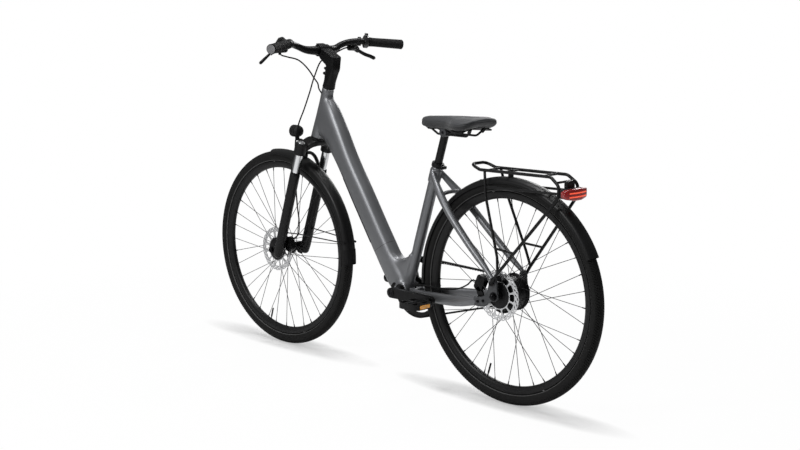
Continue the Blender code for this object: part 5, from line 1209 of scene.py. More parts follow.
def belt_places(distance):
    """Points on the pitch line and outward directions at distances along the belt, from the top of the
    front sprocket: round it, back along the lower run, round the rear sprocket and ahead again."""
    distance = np.asarray(distance, float) % (BELT_TEETH * BELT_PITCH)
    top = math.pi / 2 + BELT_LEAN
    low, rear, high = FRONT_WRAP, FRONT_WRAP + STRAIGHT, FRONT_WRAP + STRAIGHT + REAR_WRAP
    angle = np.select(
        [distance < low, distance < rear, distance < high],
        [top - distance / FRONT_PITCH, -top + 0 * distance, -top - (distance - rear) / REAR_PITCH], top)
    out = np.cos(angle)[:, None] * BELT_AHEAD + np.sin(angle)[:, None] * BELT_UP
    t = np.select(
        [distance < low, distance < rear, distance < high],
        [0 * distance, (distance - low) / STRAIGHT, 1 + 0 * distance], 1 - (distance - high) / STRAIGHT)
    t = t[:, None]
    centre = (1 - t) * BRACKET + t * REAR_AXLE
    radius = (1 - t) * FRONT_PITCH + t * REAR_PITCH
    return centre + radius * out, out


def tooth_depth(offset):
    """Depth of a tooth's wedge below the pitch line, by the distance from its middle in pitches."""
    return np.interp(np.abs(offset), (0.0, 0.15, 0.19, 0.3, 0.34, 0.5), mm(4.4, 4.4, 4.1, 1.3, 1, 1))


def belt_shape():
    steps = np.array((0.0, 0.13, 0.17, 0.21, 0.3, 0.35, 0.5, 0.65, 0.7, 0.79, 0.83, 0.87))
    distance = ((np.arange(BELT_TEETH)[:, None] + steps) * BELT_PITCH).ravel()
    place, out = belt_places(distance)
    phase = distance / BELT_PITCH
    depth = tooth_depth(phase % 1 - 0.5)[:, None]
    half = 0.006 * SIDE
    rings = np.stack((
        place + 0.0013 * out + 0.92 * half, place + 0.0013 * out - 0.92 * half, place + 0.001 * out - half,
        place - depth * out - half, place - depth * out + half, place + 0.001 * out + half),
        axis=1) + BELT_LINE * SIDE
    return shape(rings, True)


part("belt_band", [belt_shape()], RUBBER, "frame", "drive_belt", crease=25.0)


def sprocket_loop(teeth, pitch_radius, first_angle):
    """Outline with a groove for each belt tooth: the same wedge, half a millimetre deeper and wider."""
    steps = np.linspace(-0.5, 0.5, 13)[:-1]
    phase = (np.arange(teeth)[:, None] + steps).ravel()
    depth = np.interp(
        np.abs((phase + 0.5) % 1 - 0.5), (0.0, 0.19, 0.23, 0.34, 0.38, 0.5), mm(5.1, 5.1, 4.7, 1.8, 1.5, 1.5))
    angle = first_angle + math.tau * phase / teeth
    place = (pitch_radius - depth)[:, None] * (
        np.cos(angle)[:, None] * BELT_AHEAD + np.sin(angle)[:, None] * BELT_UP)
    return place[:, [0, 2]]


belt_top = math.pi / 2 + BELT_LEAN
loops = [
    sprocket_loop(FRONT_TEETH, FRONT_PITCH, belt_top - BELT_PITCH / 2 / FRONT_PITCH), arc(0.0196, 0, 350, 36)]
for k in range(5):
    base = 72 * k + 10
    loops.append(np.vstack((arc(0.088, base, base + 52, 16), arc(0.034, base + 42, base + 10, 6))))
part(
    "front_belt_sprocket", [plate(loops, 0.0045, BRACKET + BELT_LINE * SIDE, AHEAD, UP)], ALLOY_BLACK,
    "crankset", "front_sprocket", crease=25.0, ease=(0.0004, 2, 40.0))
rear_start = FRONT_WRAP + STRAIGHT
first = math.ceil((rear_start - BELT_PITCH / 2) / BELT_PITCH)
start_angle = -belt_top - (BELT_PITCH / 2 + first * BELT_PITCH - rear_start) / REAR_PITCH
cog = [plate(
    [sprocket_loop(REAR_TEETH, REAR_PITCH, start_angle), arc(0.0072, 0, 345, 24)], 0.0055,
    REAR_AXLE + BELT_LINE * SIDE, AHEAD, UP),
    turned([(7.5, -56), (19.5, -56), (21.5, -54.5), (22.5, -52), (7.5, -51.9)], REAR_AXLE, SIDE, 60, True)]
part("rear_belt_sprocket", cog, STEEL, "belt_sprocket", "rear_sprocket", crease=25.0, ease=(0.0003, 2, 40.0))


# Cranks: forged aluminium arms, black anodised, with eased edges and a bolt over the spindle. The right
# one carries the sprocket's spider and the spindle.

CRANK_LENGTH, CRANK_SIDE, PEDAL_SIDE = 0.175, 0.078, 0.149


def capsule(start_radius, end_radius, length, steps=24):
    """Outline of an arm: two round ends joined by straight flanks, along +x."""
    lean = math.degrees(math.asin((start_radius - end_radius) / length))
    return np.vstack((
        arc(start_radius, 90 - lean, 270 + lean, steps),
        arc(end_radius, -90 + lean, 90 - lean, steps, (length, 0.0))))


def crank_shapes(side):
    along = -AHEAD if side > 0 else AHEAD
    centre = BRACKET + side * CRANK_SIDE * SIDE
    outer = plate([capsule(0.0168, 0.0142, CRANK_LENGTH)], 0.0066, centre, along, UP)
    pedal = BRACKET + along * CRANK_LENGTH
    parts = [outer, bar(pedal + side * 0.076 * SIDE, pedal + side * 0.1 * SIDE, 0.0068, 32)]
    boss = 0.015 if side > 0 else 0.0189
    parts.append(lathe(
        [(boss, 0.042), (boss, 0.086), (boss - 0.001, 0.0868), (0.011, 0.087), (0.0105, 0.086)], BRACKET,
        side * SIDE, 64))
    if side < 0:
        parts.append(bar(BRACKET - 0.045 * SIDE, BRACKET + 0.0416 * SIDE, 0.0094, 40))
        parts.append(turned([(19, 51), (27, 51.2), (27.5, 53), (25, 56), (19, 57)], BRACKET, side * SIDE, 64))
    return parts


for side, name in ((1, "left"), (-1, "right")):
    along = -AHEAD if side > 0 else AHEAD
    part(
        f"crank_arm_{name}", crank_shapes(side), ALLOY_BLACK, "crankset", f"crank_{name}", crease=30.0,
        ease=(0.0016, 3, 40.0))
    pedal = BRACKET + along * CRANK_LENGTH
    steel = [
        bar(pedal + side * 0.099 * SIDE, pedal + side * 0.15 * SIDE, 0.0049, 32),
        turned([(6, 85), (8.6, 85), (8.6, 94.5), (7.8, 95), (6, 95)], pedal, side * SIDE, 6, True),
        bolt(BRACKET + side * 0.0862 * SIDE, side * SIDE, 10, 2.6)]
    part(f"crank_hardware_{name}", steel, DARK_BOLT, "crankset", crease=30.0)


# Pedals: moulded platform cages on a metal barrel, four windows each, rubber ribs on the treads and an
# amber reflector let into both end faces.

def amber_plastic():
    paint = Paint("amber_reflector")
    cells = paint.node("TexVoronoi", {"distance": "CHEBYCHEV"}, {"Scale": 620.0})
    # painted reflection: the faint amber emission makes the reflector glow as if it threw light back; it is no
    # lamp
    return paint.wear(
        Base_Color=(0.9, 0.38, 0.045), Roughness=0.16, Coat_Weight=0.7, Coat_Roughness=0.05,
        Emission_Color=(1.0, 0.42, 0.03), Emission_Strength=0.12, Normal=paint.bump(cells, 0.0004))


AMBER = amber_plastic()


def pedal_shapes(centre):
    """Cage: a rounded slab with four rounded windows."""
    loops = [rounded(86, 88, 26, 10)]
    for ahead in (-0.025, 0.025):
        for out in (-0.021, 0.021):
            loops.append(rounded(20, 30, 3, 4) + (ahead, out))
    return [plate(loops, 0.0088, centre, AHEAD, SIDE)]


for side, name in ((1, "left"), (-1, "right")):
    along = -AHEAD if side > 0 else AHEAD
    centre = BRACKET + along * CRANK_LENGTH + side * PEDAL_SIDE * SIDE
    body = f"{name}_pedal"
    part(
        f"pedal_cage_{name}", pedal_shapes(centre), PLASTIC, body, f"pedal_{name}", crease=30.0,
        ease=(0.0013, 3, 40.0))
    barrel = turned(
        [(6, -52), (10, -52), (11.8, -50.5), (12.4, -44), (12.4, 40), (11.5, 42.5), (7, 43)], centre,
        side * SIDE, 48)
    part(f"pedal_barrel_{name}", [barrel], ALLOY_BLACK, body, crease=30.0)
    amber, treads = [], []
    for end in (1, -1):
        amber.append(plate([rounded(44, 12.2, 2, 3)], 0.0012, centre + end * 0.0424 * AHEAD, SIDE, UP))
        for face in (1, -1):
            for out in (-0.024, -0.012, 0.0, 0.012, 0.024):
                treads.append(plate(
                    [rounded(11, 3.4, 1.2, 3)], 0.0006, centre + (end * 0.0365, out, face * 0.009), AHEAD,
                    SIDE))
    part(f"pedal_reflectors_{name}", amber, AMBER, body, slot="plastic", ease=(0.0004, 2))
    part(f"pedal_treads_{name}", treads, RUBBER, body)


# Suspension fork: forged crown painted satin black, clamped round two chromed stanchions. A silver
# preload cap closes the left one and the lockout knob sits on the right one.

LEG_FORWARD, LEG_SIDE, STANCHION, LEG_TOP = 0.01, 0.0635, 0.0142, -0.136


def leg(up, side=1.0):
    """Point on the centre line of a fork leg."""
    return steer(up, LEG_FORWARD, side * LEG_SIDE)


def crown_section(row):
    """Superellipse of power 4 between the low and high edge and the back and front of one station."""
    side, low, high, back, front = row
    u, v = oval(40, 4.0)
    return (
        steer((low + high) / 2, (back + front) / 2, side) + u[:, None] * STEER_AHEAD * (front - back) / 2
        + v[:, None] * STEER_UP * (high - low) / 2)


# side, low edge, high edge, back, front
CROWN = mm(
    (0, -24, -2, -26, 27), (22, -26, -2, -25, 28), (37, -34, -8.5, -19, 29), (43.5, -43, -14, -14, 29.5),
    (48, -48.5, -20.5, -11, 29.5), (58, -56, -22, -7, 28))
full_crown = np.vstack((CROWN[:0:-1] * (-1, 1, 1, 1, 1), CROWN))
stations = np.c_[full_crown[:, 0], 0 * full_crown[:, :2], full_crown[:, 1:]]
stations = smooth_line(stations, 60)[:, (0, 3, 4, 5, 6)]
crown_shapes = [shape([crown_section(row) for row in stations])]
for side in (1, -1):
    crown_shapes.append(
        turned([(19, -62.2), (20.6, -61.8), (21, -61), (21, -22.5), (20, -20.3)], leg(0.0, side), STEER_UP, 72))
crown_shapes.append(turned([(23.5, -8), (23.5, 2), (22.5, 2.6), (15, 2.6)], LOWER_RACE, STEER_UP, 72))
crown = welded("fork_crown_forging", crown_shapes, SATIN_BLACK, 0.0013, 3)
fixed(crown, "steering", "fork_crown", slot="black_paint")


CHROME = hazed("chromed_tube", (30.0, 2.0), 0.07, 0.07, Base_Color=(0.7, 0.71, 0.72), Metallic=1.0)
tubes = [bar(leg(-0.31, side), leg(-0.056, side), STANCHION, 64) for side in (1, -1)]
part("stanchions", tubes, CHROME, "steering", slot="steel")
steerer = [bar(steer(-0.01), steer(0.228), 0.0143, 48), bar(leg(-0.03, -1), leg(-0.0075, -1), 0.003, 24)]
part("steerer_tube", steerer, STEEL, "steering")
cap = [turned([
    (6, -24), (12.8, -24), (13.2, -20.5), (13.2, -18), (12.6, -16.8), (10, -16), (7.2, -15.8), (6.6, -16.6),
    (6, -16.6)], leg(0.0), STEER_UP, 72)]
part("preload_cap_silver", cap, brushed("silver_cap_alloy", (0.66, 0.67, 0.68), 0.24), "steering", slot="steel")


# Lockout knob: moulded black cap with a finger ridge and a ring of fine grip teeth, on the right
# stanchion. Below, a rubber seal closes the top of each lower leg round its stanchion.

def knurled(profile, centre, axis, depth, teeth, count=240):
    """A turned shape whose radius is lowered by a cosine with this many teeth where depth is above 0."""
    points, faces = turned([(r, h) for r, h, _ in profile], centre, axis, count)
    along = unit(axis)
    rise = (points - centre) @ along
    spread = points - centre - rise[:, None] * along
    angle = math.tau * np.tile(np.arange(count) / count, len(profile))
    share = np.repeat([share for _, _, share in profile], count)
    wave = share * depth * (1 - np.cos(teeth * angle)) / 2
    scale = 1 - wave / np.maximum(np.linalg.norm(spread, axis=1), 1e-6)
    return centre + rise[:, None] * along + spread * scale[:, None], faces


knob_profile = [
    (3.6, -19.4, 0), (15, -19.4, 0), (15.4, -18.8, 1), (15.5, -12, 1), (15, -10, 1), (14, -7.4, 0),
    (11.8, -6.2, 0), (6, -5.8, 0)]
knob = [
    knurled(knob_profile, leg(0.0, -1), STEER_UP, 0.0007, 40),
    plate([rounded(27.2, 8.4, 3, 5)], 0.0024, leg(-0.0066, -1), STEER_AHEAD, STEER_UP)]
part("lockout_knob_cap", knob, PLASTIC, "lockout", "lockout_knob", ease=(0.0006, 2, 50.0))
wipers = [lathe([
    (0.0144, LEG_TOP - 0.001), (0.0172, LEG_TOP - 0.001), (0.0172, LEG_TOP + 0.003), (0.016, LEG_TOP + 0.0052),
    (0.0146, LEG_TOP + 0.0056)], leg(0.0, side), STEER_UP, 64, True) for side in (1, -1)]
part("fork_wiper_seals", wipers, RUBBER, "fork_slider")


# Fork lowers: one magnesium casting of two legs, the arch ahead of them and flat tabs for the axle.
# Painted satin black; the arch is drawn out of the legs with full fillets.

def arch_path():
    left = mm((-150, 20, 62.5), (-118, 34, 59), (-94, 43, 46), (-80, 45, 26), (-77.5, 45, 0))
    return smooth_line([steer(*p) for p in np.vstack((left, left[-2::-1] * (1, 1, -1)))], 60)


def lowers_shapes():
    profile = [
        (0.015, LEG_TOP), (0.0168, LEG_TOP - 0.0004), (0.018, LEG_TOP - 0.004), (0.018, -0.22), (0.0178, -0.33),
        (0.0182, -0.41), (0.018, -0.432), (0.0168, -0.45), (0.015, -0.461), (0.0105, -0.466)]
    tab = mm((-36, -18), (-20, -20), (6, -13), (13, -4), (13, 6), (4, 14), (-20, 26), (-38, 40))
    shapes = [tube(arch_path(), 0.0064, 0.0062, 32, (0, 1, 0.001), 2.4)]
    for side in (1, -1):
        shapes.append(lathe(profile, leg(0.0, side), STEER_UP, 72))
        shapes.append(plate([tab], 0.004, FRONT_AXLE + side * 0.058 * SIDE, STEER_AHEAD, STEER_UP))
    return shapes


lowers = welded("fork_lower_casting", lowers_shapes(), SATIN_BLACK, 0.0016, 4)
fixed(lowers, "fork_slider", "fork_lowers", slot="black_paint")


# Disc calipers: two-part aluminium bodies, black, that straddle the rotor. Each has two body bolts and a
# round piston cap; the rear one sits on an ear between the stays.

def caliper_shapes(axle, angle, radius, inner, outer, rotor_side):
    """Two rounded halves either side of the rotor's slot, joined by a bridge beyond the rotor's edge."""
    out = ray_out(angle)
    way = np.array((-out[2], 0.0, out[0]))
    centre = axle + radius * out
    shapes = []
    for low, high in ((inner, rotor_side - 0.0018), (rotor_side + 0.0018, outer)):
        shapes.append(
            plate([rounded(50, 31.6, 9, 8)], (high - low) / 2, centre + (low + high) / 2 * SIDE, way, out))
    bridge = centre + 0.0112 * out + (inner + outer) / 2 * SIDE
    shapes.append(plate([rounded(44, 7.8, 2, 4)], (outer - inner) / 2 - 0.001, bridge, way, out))
    bolts = [
        bolt(centre + outer * SIDE + shift * way + 0.004 * out - 0.0004 * SIDE, SIDE, 4.2, 2.4)
        for shift in (-0.0165, 0.0165)]
    cap = turned(
        [(9.5, -0.4), (9.5, 0.8), (8.5, 1.3), (4, 1.3)], centre - 0.004 * out + outer * SIDE - 0.0004 * SIDE,
        SIDE, 48)
    return shapes, bolts, cap


for name, body, geometry in (
        ("front", "fork_slider", (FRONT_AXLE, 158.0, 0.0745, 0.023, 0.0445, 0.0357)),
        ("rear", "frame", (REAR_AXLE, 24.0, 0.0755, 0.041, 0.064, 0.0503))):
    halves, bolts, cap = caliper_shapes(*geometry)
    if name == "rear":
        lug = mm((42, -18), (56, -22), (72, -12), (84, 16), (70, 20), (52, -2))
        foot = REAR_AXLE + (0.054, 0.06, -0.015)
        halves += [
            plate([lug], 0.0028, REAR_AXLE + 0.0612 * SIDE, AHEAD, UP),
            bar(foot, foot + 0.0084 * SIDE, 0.005, 24)]
    part(
        f"{name}_caliper_body", halves, ALLOY_BLACK, body, f"{name}_brake_caliper", slot="black_paint",
        crease=30.0, ease=(0.0014, 3, 50.0))
    part(f"{name}_caliper_bolts", bolts, DARK_BOLT, body, crease=30.0)
    part(f"{name}_caliper_piston_cap", [cap], ALLOY_BLACK, body, crease=30.0)


# Stem: one hollow forging that grows from a cone on the head tube into a leaning block with a flat,
# sheared top, and clamps the bar at its front. Black anodised, crisp edges, two steerer and two bar bolts.


def stem_section(row):
    """Superellipse through the back and front point of a station, its power growing from 2 to 8."""
    back_x, back_z, front_x, front_z, half, power = row
    u, v = oval(64, power)
    back, front = np.array((back_x, 0.0, back_z)), np.array((front_x, 0.0, front_z))
    return (back + front) / 2 + half * u[:, None] * SIDE + v[:, None] * (front - back) / 2


def stem_rows():
    def across(up, back, front, half, power):
        low, high = steer(up, back), steer(up, front)
        return (low[0], low[2], high[0], high[2], half, power)

    rows = [
        across(HEAD_TUBE + 0.0006, -0.0218, 0.0218, 0.0218, 2.0),
        across(HEAD_TUBE + 0.0042, -0.0218, 0.0218, 0.0218, 2.0), across(0.215, -0.02, 0.0205, 0.02, 2.3),
        across(0.24, -0.0195, 0.021, 0.019, 4.0), across(0.262, -0.021, 0.0225, 0.019, 6.0),
        (0.2435, 1.033, 0.296, 1.04, 0.02, 7.0), (0.2425, 1.045, 0.316, 1.058, 0.021, 8.0),
        (0.2415, 1.052, 0.326, 1.084, 0.0213, 8.0), (0.241, 1.056, 0.331, 1.104, 0.0215, 8.0)]
    return np.array([[(r[0] + r[2]) / 2, 0.0, (r[1] + r[3]) / 2, *r] for r in rows])


stem_table = np.vstack((stem_rows()[0], smooth_line(stem_rows()[1:], 90)))[:, 3:]
stem_block = piece(
    "stem_body", [
        shape([stem_section(row) for row in stem_table]),
        turned([(19.5, -22.5), (20.5, -21.8), (20.5, 21.8), (19.5, 22.5)], (0.318, 0.0, 1.08), SIDE, 72)],
    ALLOY_BLACK, 28.0)
fixed(eased(stem_block, 0.0009, 3, 30.0), "steering", "stem", slot="black_alloy")
stem_bolts = [bolt(steer(up, 0.017, 0.0085), STEER_AHEAD, 5.6, 14) for up in (0.2305, 0.2484)]
stem_bolts += [bolt(
    np.array((0.318, side * 0.013, 1.08)) + 0.0196 * unit((0.96, 0, -0.28)), unit((0.96, 0, -0.28)), 3.8, 3)
    for side in (1, -1)]
part("stem_bolts", stem_bolts, DARK_BOLT, "steering")
spacer = [turned(
    [(16, 0.2), (21.6, 0.2), (22.1, 1), (22.1, 3.4), (21.6, 4.2), (16, 4.2)], steer(HEAD_TUBE + 0.0004),
    STEER_UP, 72, True)]
part("headset_cover", spacer, ALLOY_BLACK, "steering")


# Handlebar: butted aluminium riser bar, swept back at the ends, black anodised. Its grips are flared
# rubber sleeves with a ribbed field, an inner flange and an end cap.

BAR_MIDDLE, GRIP_START = mm(318, 0, 1080), mm(285, 190, 1105)
GRIP_WAY = unit((-0.055, 0.115, -0.011))


def bar_path(count):
    """Centre line of the riser bar from the right end to the left end."""
    left = [
        BAR_MIDDLE,
        *mm((318, 30, 1080), (328, 70, 1084), (333, 100, 1095), (327, 130, 1103.5), (311.5, 155, 1107)),
        GRIP_START - 0.018 * GRIP_WAY, GRIP_START]
    smooth = np.vstack((smooth_line(left, count), GRIP_START + 0.12 * GRIP_WAY))
    return np.vstack(((smooth * (1, -1, 1))[::-1], smooth[1:]))


bar_line = bar_path(90)
bar_sizes = np.interp(np.abs(bar_line[:, 1]), (0.0, 0.034, 0.09), mm(15.9, 15.5, 11.1))
part("riser_bar", [tube(bar_line, bar_sizes, sides=40)], ALLOY_BLACK, "steering", "handlebar")


def grip_rubber():
    """Grip rubber: diamond grain moulded in the sleeve."""
    paint = Paint("diamond_grip_rubber")
    cells = paint.node("TexVoronoi", {"distance": "MANHATTAN"}, {"Scale": 520.0, "Randomness": 0.15})
    worn = paint.noise(55.0)
    return paint.wear(
        Base_Color=paint.blend(worn, (0.006, 0.006, 0.0063), (0.012, 0.012, 0.0124)),
        Roughness=0.6 + 0.2 * worn, Normal=paint.bump(cells, 0.00025), Specular_IOR_Level=0.18)


GRIP_RUBBER = grip_rubber()
END_CAP_GREY = moulded_plastic("grey_end_cap_plastic", (0.16, 0.16, 0.165), (0.24, 0.24, 0.245))
h = np.linspace(0.01, 0.118, 121)
ribs = 0.00015 * np.cos(math.tau * (h - 0.01) / 0.0045) * soft_band(h, 0.022, 0.01, 0.1, 0.01)
sleeve = np.interp(h, (0.01, 0.018, 0.065, 0.118), mm(16, 15.4, 16.1, 16.8)) + ribs
grip_profile = [(0.0117, 0.0), (0.016, 0.0), (0.0165, 0.0006), (0.0165, 0.0046), (0.016, 0.0056)]
grip_profile += list(zip(sleeve, h)) + [
    (0.017, 0.12), (0.0172, 0.1225), (0.0172, 0.124), (0.0166, 0.1256), (0.0148, 0.127), (0.011, 0.1276),
    (0.0105, 0.1272), (0.002, 0.1272)]
for name, side in (("left", 1), ("right", -1)):
    end, way = GRIP_START * (1, side, 1), GRIP_WAY * (1, side, 1)
    part(
        f"grip_{name}_sleeve", [lathe(grip_profile, end, way, 72)], GRIP_RUBBER, "steering", f"grip_{name}",
        slot="rubber", crease=50.0)
    cap = turned([(2, 126.8), (13.8, 126.8), (14.5, 127.2), (14.2, 128), (2, 128.4)], end, way, 48)
    part(f"grip_{name}_end_cap", [cap], END_CAP_GREY, "steering", slot="plastic")


# Brake levers: forged two-finger blades that pivot in the ears of a master cylinder. Each cylinder is a
# tapered casting on a hinged bar clamp, with its reservoir lid and screws on top and a hose nut inside.

def on_bar(side):
    """Point and direction of the bar at this distance to the left, negative to the right."""
    coarse = bar_path(11)
    place, before, after = (
        np.array([np.interp(side + step, coarse[:, 1], coarse[:, k]) for k in range(3)])
        for step in (0.0, -0.004, 0.004))
    return place, unit(after - before)


def clamp_band(side, outer, half):
    """Band round the bar, from the bar's skin out to this radius, with its outer edges chamfered."""
    place, along = on_bar(side)
    inner, edge = 0.0112, 0.0006
    profile = [
        (inner, -half), (outer - edge, -half), (outer, -half + edge), (outer, half - edge),
        (outer - edge, half), (inner, half)]
    return lathe(profile, place, along, 56, True)


for side, name in ((1, "left"), (-1, "right")):
    inner, outer, pivot, tip, axis = brake_points(side)
    clamp_side = 0.178 if side > 0 else -0.163
    place, along = on_bar(clamp_side)
    run = smooth_line([inner, inner + 0.12 * (outer - inner), inner + 0.5 * (outer - inner), outer], 30)
    sizes = np.interp(np.linspace(0, 1, 30), (0, 0.05, 0.12, 0.9, 1.0), mm(7, 9, 10.5, 11, 10))
    reference = unit(np.cross(outer - inner, (0, 0, 1)))
    body_shapes = [tube(run, sizes, sides=36, reference=reference, power=2.4)]
    arm_root = inner + (0.62 if side > 0 else 0.5) * (outer - inner)
    body_shapes.append(tube([arm_root, place], (0.008, 0.0072), (0.0078, 0.0052), 28, (0, 1, 0.01)))
    body_shapes.append(clamp_band(clamp_side, 0.016, 0.0058))
    way = unit(pivot - outer)
    ear = capsule(0.0095, 0.0068, float(np.linalg.norm(pivot - outer)) + 0.002, 14)
    for offset in (0.0062, -0.0062):
        body_shapes.append(plate([ear], 0.0012, outer - 0.002 * way + offset * axis, way, np.cross(axis, way)))
    part(
        f"master_{name}_casting", body_shapes, SATIN_BLACK, "steering", f"brake_master_{name}",
        ease=(0.0005, 2, 50.0))
    lean = unit(outer - inner)
    high = unit(UP - lean * lean[2])
    middle = inner + 0.45 * (outer - inner) + 0.01 * high
    lid = plate([rounded(30, 13.5, 4, 6)], 0.001, middle, lean, np.cross(high, lean))
    screws = [bolt(middle + shift * lean + 0.0009 * high, high, 1.6, 0.9) for shift in (-0.0105, 0.0105)]
    part(f"master_{name}_lid", [lid], PLASTIC, "steering", ease=(0.0004, 2))
    hardware = [bar(pivot - 0.008 * axis, pivot + 0.008 * axis, 0.0021, 24)] + screws
    clamp_ear = place + 0.015 * unit(np.cross(along, (0, 0, 1))) * (1 if side > 0 else -1)
    hardware.append(bolt(clamp_ear - 0.001 * along, -unit(place - clamp_ear), 3.2, 2.4))
    part(f"master_{name}_hardware", hardware, DARK_BOLT, "steering")
    back = unit(inner - outer)
    nut = turned(
        [(2.8, -1), (5.2, -1), (5.2, 6), (4, 7.5), (2.8, 7.8)],
        inner if side < 0 else inner + 0.55 * (outer - inner) - 0.0095 * UP, back if side < 0 else -UP, 6, True)
    part(f"master_{name}_hose_nut", [nut], DARK_BOLT, "steering")

    blade_way = unit(tip - pivot)
    inward = np.cross(axis, blade_way)
    reach = tip - pivot
    blade = smooth_line([
        pivot, pivot + 0.2 * reach - 0.002 * inward, pivot + 0.5 * reach - 0.003 * inward, pivot + 0.8 * reach,
        tip, tip + 0.006 * blade_way - 0.001 * inward], 60)
    at = np.linspace(0, 1, 60)
    width = np.interp(at, (0, 0.2, 0.5, 0.8, 0.93, 0.98, 1), mm(5.2, 6.6, 6.4, 6.6, 6.8, 5.4, 2.6))
    height = np.interp(at, (0, 0.2, 0.5, 0.8, 0.93, 0.98, 1), mm(4.4, 4.4, 5, 5.4, 5.4, 4.2, 2.2))
    lever = [
        tube(blade, width, height, 32, axis, 3.0),
        turned([(2.4, -4.6), (6.9, -4.6), (7.5, -4), (7.5, 4), (6.9, 4.6), (2.4, 4.6)], pivot, axis, 48, True)]
    part(f"lever_{name}_blade", lever, ALLOY_BLACK, f"{name}_brake_lever", f"brake_lever_{name}", crease=40.0)


# Ring bell: a spun ring held on a clamp round the bar, with a sprung striker in two small ears on top.
# Lacquered gloss black.

GLOSS_BLACK = hazed(
    "gloss_black_lacquer", (25.0,), 0.1, 0.06, Base_Color=(0.008, 0.008, 0.009), Coat_Weight=0.5,
    Coat_Roughness=0.04)
BELL_SIDE = -0.181
place, along = on_bar(BELL_SIDE)
top = unit(np.cross(along, (-1.0, 0.0, 0.0)))
top = top if top[2] > 0 else -top
rear = unit(np.cross(along, top))
rear = rear if rear[0] < 0 else -rear
striker_pivot = place + 0.0265 * top
ring_profile = [
    (18.8, -6), (19.4, -6.5), (21.8, -6.5), (22.5, -5.8), (22.7, 0), (22.5, 5.8), (21.8, 6.5), (19.4, 6.5),
    (18.8, 6), (18.6, 0)]
bell_shapes = [
    turned(ring_profile, place, along, 96, True), clamp_band(BELL_SIDE, 0.015, 0.0056),
    bar(place - 0.013 * top, place - 0.02 * top, 0.004, 24)]
ear = capsule(0.0036, 0.0036, 0.006 + 1e-6, 12)
for offset in (0.0036, -0.0036):
    bell_shapes.append(
        plate([ear], 0.0008, striker_pivot - 0.006 * top + offset * along, top, np.cross(along, top)))
part("ring_bell", bell_shapes, GLOSS_BLACK, "steering", "bell", slot="black_paint", crease=40.0)
part(
    "striker_pin", [bar(striker_pivot - 0.0043 * along, striker_pivot + 0.0043 * along, 0.0012, 20)], STEEL,
    "steering")
swing = smooth_line(
    [striker_pivot, striker_pivot + 0.006 * rear + 0.0006 * top, striker_pivot + 0.013 * rear - 0.001 * top],
    20)
hammer = [
    tube(swing, 0.0021, sides=20, reference=along),
    turned([(1.4, -2.4), (3, -2.4), (3, 2.4), (1.4, 2.4)], striker_pivot, along, 32, True), turned(
        [(0.6, -3.4), (2, -3.2), (3.1, -2.2), (3.6, 0), (3.1, 2.2), (2, 3.2), (0.6, 3.4)],
        swing[-1] + 0.0012 * rear, along, 32)]
part("bell_hammer", hammer, ALLOY_BLACK, "striker", "bell_striker", crease=40.0)


# Control remote: a small moulded box beside the left grip on its own bar clamp, with two rubber buttons
# in wells. Their faces carry a plain raised bar each, so that a thumb can tell them apart.

ride_place, ride_along = on_bar(0.19)
out_way = np.array((0.83, 0.0, 0.56))
out_way = unit(unit(out_way) - ride_along * np.dot(unit(out_way), ride_along))
face_way = np.cross(out_way, ride_along)
face_way = face_way if face_way[0] < 0 else -face_way
remote_centre = ride_place + 0.0247 * out_way - 0.0035 * face_way
clamp_place = on_bar(0.156)[0]
remote_arm = smooth_line(
    [clamp_place, clamp_place + 0.019 * out_way + 0.004 * ride_along, remote_centre - 0.012 * ride_along], 24)
box = [
    plate([rounded(40, 16, 7, 8)], 0.01, remote_centre, ride_along, out_way), clamp_band(0.156, 0.0155, 0.0052),
    tube(remote_arm, 0.0066, 0.0046, 28, (0, 1, 0.01))]
part("remote_box", box, PLASTIC, "steering", "remote_housing", ease=(0.002, 3, 50.0))
for name, offset in (("up", 0.0088), ("down", -0.0088)):
    middle = remote_centre + offset * ride_along + 0.0105 * face_way
    key = [
        plate([rounded(11, 10, 2, 5)], 0.0022, middle, ride_along, out_way),
        plate([rounded(5, 1.2, 0.5, 3)], 0.0003, middle + 0.0023 * face_way, ride_along, out_way)]
    part(f"remote_key_{name}", key, RUBBER, f"{name}_button", f"remote_button_{name}", ease=(0.0003, 2))


# Front lamp: a round moulded housing that tilts on a hinge at the end of a flat arm from the crown, with
# grooves round it and a clear, finely ringed lens over a bright bowl.

LAMP_HINGE, LAMP_CENTRE = mm(455, 0, 760), mm(457, 0, 790)
arm_line = smooth_line(
    [steer(-0.019, 0.02), steer(-0.0235, 0.04), (0.418, 0.0, 0.7565), (0.442, 0.0, 0.759)], 30)
bracket = [tube(arm_line, 0.0082, 0.004, 32, (0, 0, 1), 4.0)]
ear_outline = np.vstack(([(-0.017, -0.003)], arc(0.0034, -90, 90, 12), [(-0.017, 0.003)]))
for side in (1, -1):
    bracket.append(plate([ear_outline], 0.001, LAMP_HINGE + side * 0.0068 * SIDE, AHEAD, UP))
part("lamp_bracket", bracket, SATIN_BLACK, "steering", ease=(0.0004, 2, 50.0))
part(
    "lamp_hinge_bolt", [
        bolt(LAMP_HINGE + 0.0076 * SIDE, SIDE, 3.2, 2),
        bar(LAMP_HINGE - 0.009 * SIDE, LAMP_HINGE + 0.0076 * SIDE, 0.0018, 20)], DARK_BOLT, "steering")
shell_profile = [
    (2, -19.6), (9, -19.2), (14, -17.8), (17.8, -15), (20, -10), (21, -6.2), (20.2, -5.6), (20.2, -4),
    (21.3, -3.4), (21.5, 3), (20.6, 3.6), (20.6, 5.2), (21.5, 5.8), (21.5, 14.8), (20.6, 15.4), (20.6, 16.6),
    (21.5, 17), (21.5, 18.6), (20.8, 19.6), (19.3, 19.4), (18.8, 17), (16, 6), (11, 0), (2, -1)]
neck = mm((-3.6, -3), (3.6, -3), (4.6, 0), (9, 11), (-5, 11), (-4.6, 0))
lamp = [turned(shell_profile, LAMP_CENTRE, AHEAD, 96), plate([neck], 0.0052, LAMP_HINGE, AHEAD, UP)]
